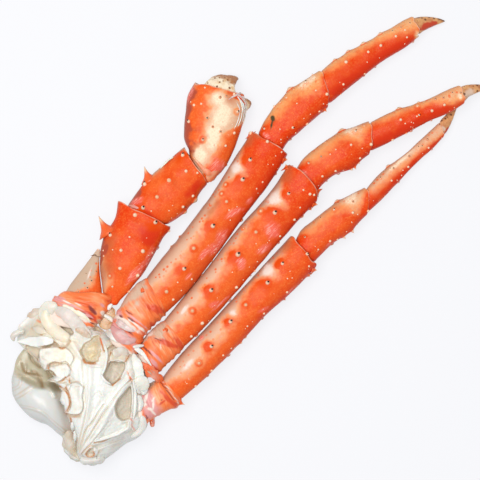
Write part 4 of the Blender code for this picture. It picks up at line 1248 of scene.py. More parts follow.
# ------------------------------------------------------------
# Shoulder. The white body wall the limbs grow from: pleated membrane that fans out from one
# corner, pierced by hollows where muscle was pulled, and torn open along the side of the meat.
SHOULDER_MIDDLE = np.array((-166.0, -31.7))
SHOULDER_RADII = (41.0, 35.5, 38.0, 44.0, 52.0, 69.5, 71.0, 70.0, 42.0, 29.5, 26.0, 26.5,
                  29.5, 37.0, 54.0, 60.5, 54.5, 50.0, 51.0, 47.5, 41.5, 40.0, 40.5, 42.5)
SHOULDER_RIM = 17.0
SHOULDER_DOME = 45.0
SHOULDER_FALL = 250.0
SHOULDER_COLUMNS = 560
SHOULDER_RINGS = 126
FOOT_SHARE = 0.78
# Rings of the underside: share of the outline's radius, and how far down the rim they lie.
SHOULDER_UNDER = ((0.992, 0.1), (0.97, 0.26), (0.94, 0.38), (0.91, 0.48), (0.885, 0.57), (0.865, 0.65),
                  (0.85, 0.72), (0.84, 0.78), (0.83, 0.83), (0.82, 0.88), (0.81, 0.92), (0.8, 0.95),
                  (0.79, 0.975), (0.785, 0.99), (FOOT_SHARE, 1), (FOOT_SHARE - 0.01, 1), (0.5, 1),
                  (0.1, 1))
# The forms of its top are placed from a point 2 mm nearer to the legs than its middle.
TOP_LEAN = 1.9
APEX = np.array((-45.0, -31.0))
# Lines and areas in plan, in mm from the shoulder's middle. Creases: corners, depth.
CREASES = (
    (((-46, -29), (-38, -23), (-25, -15), (-13, -6), (-5, 3)), 0.7),
    (((-46, -31), (-36, -25), (-27, -20), (-20, -19), (-5, -15)), 0.8),
    (((-46, -32), (-35, -30.6), (-23, -29), (-11, -27)), 0.6),
    (((-44, -30), (-32, -26), (-17, -22), (2, -17), (13, -15), (22, -15)), 0.8),
    (((-7.5, -5.3), (-1.2, -5.4), (-1, -8.7)), 0.5), (((2, 41), (3, 36), (8, 37), (11, 33)), 0.4),
    (((-29.5, -31.7), (-24.4, -34.5), (-12, -38.9), (-4, -40.4)), 1),
    (((-16, -7), (-8, 3), (0, 14), (6, 22)), 0.4))
# Pleats: corners, half-width, height.
PLEATS = (
    (((-42, -30), (-25, -16), (-10, -4), (4, 10), (10, 20)), 2.6, 1.6),
    (((-42, -31), (-20, -20), (0, -8), (12, 2)), 3, 1.3),
    (((-43, -31), (-20, -27), (6, -18), (26, -12)), 2.2, 2.6),
    (((-38, -26), (-26, -10), (-16, 4), (-10, 18)), 4, 1.6),
    (((-27, -33), (-16, -37), (-4, -41), (1, -37)), 1.2, 2.2),
    (((-12, 38), (-2, 36), (6, 30), (6, 20)), 4.5, 1.6),
    (((27, 16), (30, 8), (32, 0), (30, -8)), 3, 2.2), (((9, 36), (7, 26), (6, 16), (12, 8)), 1.4, 1.6))
# Hollows: outline, depth, how crisp the edge is, and shares of tan, grey, pink, yellow and cream
# on their floors. The tan and grey on the floors are partly the membrane's own colour and partly
# painted shade in the hollows; the brown floor of the hollow by the muscle, at (9, 54), is painted
# shadow.
HOLLOWS = (
    (((18.6, -18.8), (11.3, -18.2), (1.7, -20.3), (-3.9, -27.2), (-3.6, -33.5), (1.5, -35.7),
      (8.8, -30.3)),
     6, 1, (0.66, 0.2, 0, 0, 0)),
    (((19.1, 5.6), (23.5, 2.2), (27.3, -1.8), (24.7, -5.8), (18.1, -8.4), (9.5, -8.6), (7.9, -4.5),
      (8.7, 1.2), (13, 3.6)),
     6.5, 0.8, (0.75, 0.5, 0, 0, 0)),
    (((8.5, 26.9), (14, 28.3), (20.7, 28.6), (25.8, 26.1), (23.3, 20.9), (20.5, 16), (15.3, 13.2),
      (10.9, 11.9), (6.2, 17.2), (6.5, 22.3)),
     3.2, 0.15, (0.55, 0.1, 0, 0.5, 0.1)),
    (((9, 54), (13, 50.5), (14.5, 41), (12, 38.5), (9, 41), (8, 47)), 4.5, 0.5, (0.9, 0.8, 0, 0, 0)),
    (((-40.3, -33.8), (-37.9, -32.9), (-35.4, -32.7), (-32.8, -33.4), (-32.9, -34.9), (-35.2, -36.1),
      (-36.3, -38.2), (-38.4, -37.9), (-40.6, -36)),
     2, 1, (0.5, 0, 0, 0.2, 0)),
    (((-11.3, 46.8), (-7.2, 47.8), (-3.2, 46.4), (-0.7, 42), (-1.4, 39.5), (-4.4, 42.7), (-7.5, 43.9)),
     3, 1, (0.9, 0, 0, 0.6, 0)),
    (((-23, 33.5), (-18.9, 31.6), (-16.4, 28.9), (-17, 25.6), (-20.9, 27.8), (-24, 29.9)), 9, 0.8,
     (1.2, 0, 0, 0.5, 0)),
    (((-19.6, 57), (-13.3, 48.6), (-16.6, 43.8), (-21.6, 41), (-25, 45), (-25, 51)), 4, 0.6,
     (0.8, 0.3, 0.1, 0.1, 0)),
    (((-17.8, 32.9), (-15.6, 34.3), (-11.4, 33.2), (-8, 29.6), (-11, 31.4), (-15, 32.6)), 3, 1,
     (1, 0, 0, 0.5, 0)),
    (((25, 30.5), (28, 36), (33, 40), (44, 34), (43, 26), (36, 20.5), (30, 24)), 3.5, 0.2,
     (0.7, 0.1, 0, 0.45, 0)))
# Laps: outlines of plates of membrane that lie over what is around them, their rise, and paint.
LAPS = (
    (((-13.6, 47.2), (-17.6, 43.9), (-21.2, 40.8), (-21.9, 36.2), (-21.7, 32.8), (-18.4, 33.6),
      (-15.1, 34.3), (-11, 32.9), (-8.3, 29.4), (-4.4, 27.3), (-3.9, 23.1), (2.1, 26.2), (2.2, 34.6),
      (-6.3, 42.9)),
     1.8, (0, 0, 0, 0, 0.25)),
    (((-25.7, 27.3), (-21.5, 27.2), (-17.3, 25.4), (-17.1, 28.6), (-17.5, 31.6), (-15.3, 32.3),
      (-9.1, 28.6), (-5.3, 26.3), (-5.5, 21.4), (-8.4, 18.7), (-12.1, 18.8), (-14.9, 19.2),
      (-19.4, 20.1), (-20.4, 23.7), (-22.8, 25.8)),
     1.6, (0, 0, 0, 0, 0)),
    (((-20.2, 19.2), (-17.1, 18), (-14.2, 16.4), (-10.8, 15.5), (-12.8, 12), (-17.2, 10.7),
      (-19.1, 14.5)),
     0.9, (0, 0, 0, 0, 0)),
    (((-16.8, 13.5), (-17.9, 9.7), (-20.3, 4.7), (-22.9, 1.5), (-26.8, -0.6), (-30.4, -0.2),
      (-27.6, -4.7), (-23.3, -7.8), (-19.1, -7.6), (-15.1, -4), (-11.5, 0.8), (-7.1, 4.8), (-9.2, 11.4)),
     2, (0, 0, 0, 0, 0.1)),
    (((-21.8, 13.2), (-25.9, 9.8), (-28.8, 5.1), (-29.4, 0.9), (-27.8, -0.5), (-23.1, 1.7), (-19.4, 6.3),
      (-18.3, 10.1)),
     1.2, (0, 0, 0, 0, 0)),
    (((27.5, 25.6), (33.9, 20.9), (32.8, 10.2), (27.6, 13.9), (21.4, 14.1), (23.7, 19.5)), 1.6,
     (0, 0, 0, 0, 0.1)),
    (((19.6, 6.2), (24.4, 10.4), (29.4, 11.2), (33.1, 9.4), (35.9, 5.4), (34.2, 0.5), (27.9, -2.3),
      (24.3, 2)),
     1.8, (0.35, 0.15, 0, 0.1, 0)),
    (((34.9, 2), (40, 0.6), (42.5, -3.8), (42.3, -11.1), (36.7, -10.2), (30.7, -24), (24.8, -29.3),
      (18.5, -25.7), (22.5, -16.6), (25.3, -6.4)),
     1.4, (0.05, 0.1, 0, 0, 0.1)),
    (((4.1, -35.6), (6.8, -40.5), (1.4, -45.1), (-3, -44.7), (-1, -38)), 1, (0, 0.25, 0, 0, 0)),
    (((5.2, 68.1), (-6.5, 65.3), (-17.5, 62), (-10.4, 56.5), (-2.3, 50.9), (-1, 58)), 0.3,
     (0.6, 0.3, 0, 0.1, 0)),
    (((-7.9, 63.4), (-2.1, 60), (-1.7, 53), (-7.5, 56.9)), 1.2, (0, 0, 0, 0, 0.7)),
    (((-43.2, -34.4), (-42.5, -31.9), (-38, -31.2), (-33.7, -31.8), (-31.4, -35.5), (-32.5, -38.5),
      (-36.2, -39.9), (-40.5, -38.5)),
     1.2, (0, 0, 0, 0, 0)))
# Soft swells: middle, reaches, turn in degrees, rise.
SWELLS = (
    ((27, -23), (6.5, 5.5), 40, 4), ((7, -47), (8, 5), 40, 3), ((34, 14), (7, 6), 0, 3),
    ((29, 6), (4.5, 3.5), 30, 2), ((24, 9), (4, 3.5), 60, 2.5), ((-6, 70), (30, 16), 0, -6),
    ((20, 38), (5, 8), 20, 2.5), ((-18, -43), (9, 5), -20, -3), ((-15, 14), (9, 22), -8, 3),
    ((18, 22), (3, 3), 0, 2.5), ((14, 18), (2.5, 2), 0, 2.5), ((8, -30), (3, 5), 20, 1.5))
# Red stains, and amber lines where the membrane is torn: corners and half-width.
STAINS = (
    (((23.9, -8.6), (23.6, -10)), 0.5), (((22.6, -13.2), (22.2, -15.2)), 0.8),
    (((23.6, -18.2), (23.3, -19.2)), 0.5), (((25.1, 23.5), (24.3, 21), (23.4, 18.8)), 0.6),
    (((2.2, -36.3), (1.7, -39.5), (-0.7, -40.8), (-1.7, -45.3)), 0.6),
    (((-1.6, 65), (-0.6, 62.8), (0.7, 60.8)), 0.7), (((34, 10), (35.6, 6), (35, 2)), 0.4))
AMBERS = (
    (((-17.8, 32.5), (-15.6, 33.7), (-11.4, 32.5), (-8.2, 28.9)), 0.5),
    (((-17.7, 29.7), (-17.3, 25.4)), 0.5), (((-10.7, 16.5), (-12.3, 14.3)), 0.5),
    (((-18.8, 19.6), (-15.4, 18.6), (-12.1, 18.8)), 0.5),
    (((-21, 18.3), (-19.7, 15), (-18.9, 11.2), (-19.8, 6.6)), 0.5),
    (((-11, 47.1), (-7.7, 47.3), (-4.9, 46.8), (-1.9, 44.2), (-1.4, 40), (-0.2, 36.7), (3.3, 35.8),
      (7.5, 36.8)),
     0.55),
    (((-30.9, -1.3), (-28.2, -5.3), (-23.8, -8.9)), 0.8),
    (((-30.2, -2.3), (-30.5, -6.1), (-32.4, -9.1)), 0.6),
    (((-28, -0.3), (-22.9, 1.9), (-19.4, 7.1), (-17, 12.9)), 0.7),
    (((-35.2, -11.3), (-36.6, -16.5), (-38.9, -21.6)), 0.7),
    (((-29.4, -31.4), (-24.4, -34.7), (-19.3, -36.1)), 0.5),
    (((25.1, 23.5), (23.3, 18.8), (21.7, 14.4), (25.1, 13.5), (29.6, 13.1)), 0.45),
    (((24.2, 10.1), (20.6, 8.5), (13.9, 3.9)), 0.5), (((35.9, 5.4), (33.6, -0.1), (27.3, -2.3)), 0.4),
    (((6.3, 19.8), (6.2, 17.2), (10.6, 12.2)), 0.7), (((9.5, -8.6), (16.8, -8.8)), 0.5),
    (((-40.6, -36), (-40.3, -33.8), (-37.9, -32.9), (-35.4, -32.7)), 0.5),
    (((-40.6, -36), (-38.4, -37.9), (-36.3, -38.2), (-35.2, -36.1)), 0.45))
# The torn side: where its middle lies and how far it spreads, in degrees, and its outline:
# turn in degrees and radius.
TORN_MIDDLE = 160.0
TORN_SPREAD = 42.0
TORN_EDGE = (
    (104, 70), (108.8, 67.3), (111, 60), (113, 52), (115.3, 45.8), (118.9, 41.8), (121.1, 38.8),
    (123, 33), (125, 31.5), (128, 33.5), (131.1, 36.2), (132.6, 30), (136.2, 26.5), (140.4, 26.1),
    (146.3, 24.5), (150.5, 25.4), (155.1, 26.1), (160, 27.8), (166.1, 27.8), (171, 27), (176.9, 28.4),
    (180.4, 30), (184, 29.8), (187.6, 31.1), (193, 32.8), (199.2, 35), (202, 37.6), (204.6, 38.4),
    (208, 41.5), (210.1, 44), (212, 50), (213.5, 54.3), (216, 57.5), (225, 60.5))
# Paint in soft patches: middle, reaches and strength. Paint of the underside.
CREAM_PATCHES = (((-1, 34), (16, 9), 0.6), ((4, 56), (8, 14), 1), ((26, 12), (10, 8), 0.5))
GREY_PATCHES = (((-10, 64), (12, 7), 0.9), ((-19, -44), (11, 5.5), 0.75), ((-48, -26), (7, 7), 0.8))
UNDERSIDE = {"tan": 0.15, "grey": 0.5}
# Streaks of the fan: how many to a radian, and their length in mm.
FAN_STREAKS = 26.0
STREAK_LENGTH = 30.0
MEMBRANE_IVORY = (0.755, 0.765, 0.73)
MEMBRANE_WARM = (0.745, 0.69, 0.58)
MEMBRANE_DULL = (0.70, 0.655, 0.565)
MEMBRANE_CREAM = (0.86, 0.75, 0.55)
MEMBRANE_TAN = (0.54, 0.45, 0.34)
MEMBRANE_GREY = (0.55, 0.52, 0.47)
MEMBRANE_PINK = (0.60, 0.31, 0.29)
MEMBRANE_YELLOW = (0.72, 0.57, 0.32)
MEMBRANE_ORANGE = (0.80, 0.14, 0.035)
# CREASE_SHADE_TAN is partly the membrane's own tan lines and partly painted shade in creases and at
# edges.
CREASE_SHADE_TAN = (0.64, 0.51, 0.37)
TORN_AMBER = (0.50, 0.19, 0.045)
# VALLEY_SHADE_BEIGE is painted shade in the valleys of the membrane.
VALLEY_SHADE_BEIGE = (0.60, 0.53, 0.41)


def smooth_line(corners, closed):
    """Points along a smooth curve through corners in plan, nine to each stretch."""
    corners = np.array(corners, float)
    places = np.arange(len(corners))
    if closed:
        corners = np.vstack((corners[-2:], corners, corners[:3]))
        places = np.arange(-2, len(places) + 3)
    last = places[-3] if closed else places[-1]
    at = np.linspace(0, last, 9 * len(corners))
    return np.stack([smooth_through(places, corners[:, n], at) for n in range(corners.shape[1])],
                    axis=-1)


def line_distance(x, y, corners, closed=False):
    """Distance in plan to the smooth line through corners, and the share of it they lie at."""
    line = smooth_line(corners, closed)
    best = np.full(x.shape, 1e9)
    where = np.zeros(x.shape)
    for n, (a, b) in enumerate(zip(line[:-1], line[1:])):
        step = b - a
        along = np.clip(((x - a[0]) * step[0] + (y - a[1]) * step[1]) / (step @ step + 1e-12), 0, 1)
        gap = np.hypot(x - a[0] - along * step[0], y - a[1] - along * step[1])
        closer = gap < best
        best = np.where(closer, gap, best)
        where = np.where(closer, (n + along) / (len(line) - 1), where)
    return best, where


def depth_inside(x, y, corners):
    """How far points lie inside a smooth closed outline in plan, negative outside it."""
    line = smooth_line(corners, True)
    inside = np.zeros(x.shape, bool)
    for a, b in zip(line[:-1], line[1:]):
        if a[1] != b[1]:
            crossing = a[0] + (y - a[1]) * (b[0] - a[0]) / (b[1] - a[1])
            inside ^= ((a[1] > y) != (b[1] > y)) & (x < crossing)
    gap, _ = line_distance(x, y, corners, True)
    return np.where(inside, gap, -gap)


def soft_patches(x, y, patches):
    """The strongest of some soft round patches, each a bell curve over its reaches."""
    return np.max([strength * np.exp(-(((x - middle[0]) / reach[0]) ** 2
                                       + ((y - middle[1]) / reach[1]) ** 2))
                   for middle, reach, strength in patches], axis=0)


def round_edge(radii, turn):
    """Radius of a smooth closed outline at an angle, from its radii at even steps of angle."""
    wrapped = radii[-2:] + radii + radii[:3]
    places = (np.arange(len(wrapped)) - 2) * 360.0 / len(radii)
    return smooth_through(places, wrapped, turn)


def shoulder_edge(turn):
    """Radius of the shoulder's outline at an angle from its middle, in plan."""
    turn = np.mod(turn, 360.0)
    torn_turn, torn_radius = np.array(TORN_EDGE).T
    return np.where((turn > torn_turn[0]) & (turn < torn_turn[-1]),
                    np.interp(turn, torn_turn, torn_radius), round_edge(SHOULDER_RADII, turn))


def from_polar(radius, turn):
    """Places in plan from radii and angles in degrees."""
    return radius * np.cos(np.radians(turn)), radius * np.sin(np.radians(turn))


def shoulder_height(x, y):
    """Height of the shoulder's top: a dome that rolls over its rim, with swells and pleats."""
    turn = np.degrees(np.arctan2(y, x))
    share = np.minimum(np.hypot(x, y) / shoulder_edge(turn), 1.0)
    height = SHOULDER_DOME - (x ** 2 + y ** 2) / SHOULDER_FALL
    x = x - TOP_LEAN
    for middle, reach, angle, rise in SWELLS:
        angle = math.radians(angle)
        along = (x - middle[0]) * math.cos(angle) + (y - middle[1]) * math.sin(angle)
        aside = (y - middle[1]) * math.cos(angle) - (x - middle[0]) * math.sin(angle)
        height = height + rise * np.exp(-(along / reach[0]) ** 2 - (aside / reach[1]) ** 2)
    for corners, wide, high in PLEATS:
        gap, place = line_distance(x, y, corners)
        height = height + high * bell(gap, wide) * (0.4 + 0.6 * smooth_step(0, 0.5, place))
    torn = bell(np.mod(turn, 360.0) - TORN_MIDDLE, TORN_SPREAD)
    rounding = (1 - share ** (3.2 + 20.0 * torn)) ** (0.5 - 0.2 * torn)
    rim = SHOULDER_RIM + 5.0 * torn
    height = height + 1.3 * torn * np.exp(-((1 - share) * 16.0) ** 2)
    return rim + (np.maximum(height, rim) - rim) * rounding


turn = np.arange(SHOULDER_COLUMNS) * 360.0 / SHOULDER_COLUMNS
share = 1 - np.linspace(0.995, 0.0, SHOULDER_RINGS) ** 1.15
edge = shoulder_edge(turn) + 0.7 * cloud(np.stack((turn / 9, 0 * turn, 0 * turn), -1), 1.0, 81)
x, y = from_polar(share[:, None] * edge, turn)
points = np.stack((x, y, shoulder_height(x, y)), axis=-1)
x = x - TOP_LEAN
fade = smooth_step(1.0, 0.93, share)[:, None]
# The crease mask tints the membrane tan in its creases, just inside the lips of the hollows and just
# outside the edges of the laps: partly the membrane's own tan lines and partly painted shade.
crease = np.zeros_like(x)
for corners, depth in CREASES:
    gap, place = line_distance(x, y, corners)
    line = bell(gap, 0.55) * smooth_step(0.0, 0.15, place)
    points[..., 2] += fade * (0.5 * depth * bell(gap - 1.3, 0.8) - depth * line)
    crease = np.maximum(crease, line * min(depth, 1.0))
rough = cloud(points, 4.0, 82) + 0.5 * cloud(points, 1.7, 83)
floors = np.zeros((5,) + x.shape)
plate_edge = np.zeros_like(x)
for corners, depth, crisp, paint in HOLLOWS:
    inside = depth_inside(x, y, corners) + (0.25 + 0.9 * (1 - crisp)) * rough
    floor = smooth_step(-0.1, 1.6, inside)
    points[..., 2] -= fade * depth * floor * (1 + 0.12 * rough)
    points[..., 2] += fade * 0.7 * crisp * bell(inside + 0.5, 0.7)
    crease = np.maximum(crease, 0.7 * crisp * bell(inside - 0.3, 0.45))
    floors = np.maximum(floors, np.array(paint)[:, None, None] * smooth_step(0.0, 1.0, inside))
for corners, rise, paint in LAPS:
    inside = depth_inside(x, y, corners) + 0.35 * rough
    points[..., 2] += fade * 1.4 * rise * smooth_step(-0.3, 0.7, inside)
    crease = np.maximum(crease, 0.4 * min(rise, 1.0) * bell(inside + 0.45, 0.4))
    frayed = bell(inside + 0.3, 0.45) * smooth_step(-0.3, 0.9, rough)
    plate_edge = np.maximum(plate_edge, frayed * (rise > 1.0))
    floors = np.maximum(floors * (1 - 0.6 * smooth_step(0.0, 1.0, inside)),
                        np.array(paint)[:, None, None] * smooth_step(0.0, 2.0, inside))
from_apex = np.hypot(x - APEX[0], y - APEX[1])
fan = np.arctan2(y - APEX[1], x - APEX[0])
streak = cloud(np.stack((fan * FAN_STREAKS, from_apex / STREAK_LENGTH, 0 * fan), axis=-1), 1.0, 84)
ruffle = cloud(np.stack((fan * 9.0, from_apex / 22.0, 0 * fan), axis=-1), 1.0, 87)
away = smooth_step(4.0, 20.0, from_apex)
points[..., 2] += fade * ((0.35 * streak + 0.8 * ruffle) * away + 0.35 * rough)
stain = np.zeros_like(x)
for corners, wide in STAINS:
    gap, place = line_distance(x, y, corners)
    stain = np.maximum(stain, bell(gap, wide) * (0.8 + 0.5 * rough))
amber = 0.85 * plate_edge
for corners, wide in AMBERS:
    gap, place = line_distance(x, y, corners)
    amber = np.maximum(amber, np.exp(-((gap + 0.15 * rough) / wide / 1.2) ** 2) * (1.6 + 0.8 * rough))
crumbs = cloud(points, 1.5, 85)
points[..., 2] += fade * 0.9 * crumbs * floors[3]
# Painted shade: beige where the membrane lies lower than the points round it, in the valleys of its
# pleats.
around = sum(np.roll(points[..., 2], step, axis=1) for step in (-9, -6, -3, 3, 6, 9)) / 6
valley_shade = np.clip((around - points[..., 2] - 0.05) / 0.7, 0, 1) * fade
under_share, drop = (np.array(values)[:, None] for values in zip(*SHOULDER_UNDER))
smoothed = np.mean([np.roll(edge, step) for step in range(-9, 10)], axis=0)
radius = under_share * (edge + (np.minimum(edge, smoothed) - edge) * smooth_step(0, 0.3, drop))
level = points[-1, :, 2] * (1 - drop)
torn = bell(turn - TORN_MIDDLE, TORN_SPREAD)
radius = radius - 4.5 * torn * smooth_step(0.1, 0.4, drop) * (1 - smooth_step(0.8, 1.0, drop))
under = np.stack((*from_polar(radius, turn), level), -1)
under += 0.5 * (cloud(under, 5.0, 86) * smooth_step(1.0, 0.9, drop))[..., None]
grey = np.maximum(soft_patches(x, y, GREY_PATCHES), 0.15 * smooth_step(0.86, 1.0, share)[:, None])
cream = soft_patches(x, y, CREAM_PATCHES)
top_masks = {"tan": floors[0], "grey": np.maximum(floors[1], grey), "pink": floors[2],
             "yellow": floors[3], "cream": np.maximum(cream, floors[4]), "orange": stain,
             "amber": amber, "crease": 0.7 * crease * (0.6 + 0.4 * rough), "valley_shade": valley_shade}
masks = {name: np.concatenate((np.clip(values, 0, 1),
                               np.full(under.shape[:2], UNDERSIDE.get(name, 0.0))))
         for name, values in top_masks.items()}
for name, values in (("fan", fan * FAN_STREAKS), ("reach", from_apex / STREAK_LENGTH)):
    masks[name] = np.concatenate((values, np.repeat(values[-1:], len(under), axis=0)))
shoulder_points = np.concatenate((points, under))
shoulder_points[..., :2] += SHOULDER_MIDDLE

shoulder_membrane, nodes, shader, spot = new_material("shoulder_membrane")
pleat_noise = nodes.noise(nodes.carried_place("fan", "reach"), 1.5, 4.0, 0.6)
patchy = nodes.noise(spot, 130.0, 4.0, 0.6)
skin = nodes.coats(MEMBRANE_IVORY, (nodes.stretch(pleat_noise, 0.50, 0.75), MEMBRANE_WARM),
                   (nodes.stretch(patchy, 0.55, 0.80), MEMBRANE_DULL))
for mask_name, colour, amount, texture in (
    ("cream", MEMBRANE_CREAM, 0.4, patchy), ("grey", MEMBRANE_GREY, 0.7, patchy),
    ("tan", MEMBRANE_TAN, 0.5, patchy), ("pink", MEMBRANE_PINK, 1.6, pleat_noise),
    ("yellow", MEMBRANE_YELLOW, 1.4, nodes.noise(spot, 330.0, 4.0, 0.6)),
    ("amber", TORN_AMBER, 0.8, nodes.noise(spot, 420.0, 3.0)),
    ("orange", MEMBRANE_ORANGE, 0.6, patchy)):
    tinted = nodes.calculate("MULTIPLY_ADD", texture, amount, nodes.calculate(
        "SUBTRACT", nodes.mask(mask_name), 0.5 * amount))
    tinted = nodes.times(tinted, nodes.stretch(nodes.mask(mask_name), 0.0, 0.2))
    skin = nodes.coats(skin, (tinted, colour))
skin = nodes.coats(skin, (nodes.times(nodes.mask("valley_shade"), 0.7), VALLEY_SHADE_BEIGE),
                   ("crease", CREASE_SHADE_TAN))
nodes.finish(shader, skin, patchy, 0.25, 0.22, Subsurface_Weight=0.15,
             Subsurface_Scale=0.003)
nodes.relief(shader, nodes.noise(spot, 450.0, 4.0, 0.6), 0.0006, 0.5)

tube_piece("shoulder_body", shoulder_points, masks, shoulder_membrane, "shoulder")


# ------------------------------------------------------------
# Folds of the shoulder. Torn lips, curls, lobes and tongues of the same membrane, lying on
# the shoulder and over the roots of the limbs.
# How near, in mm, a point has to be to cover a place, and the height where none is near.
COVER_REACH = 1.6
COVER_LEAST = 8.0
cover = np.concatenate([shoulder_points[:SHOULDER_RINGS].reshape(-1, 3)] + coxa_points)


def cover_height(x, y):
    """Height of the shoulder or of a coxa at a point in plan, from the points nearby."""
    near = np.hypot(cover[:, 0] - x, cover[:, 1] - y) < COVER_REACH
    return cover[near, 2].max() if near.any() else COVER_LEAST


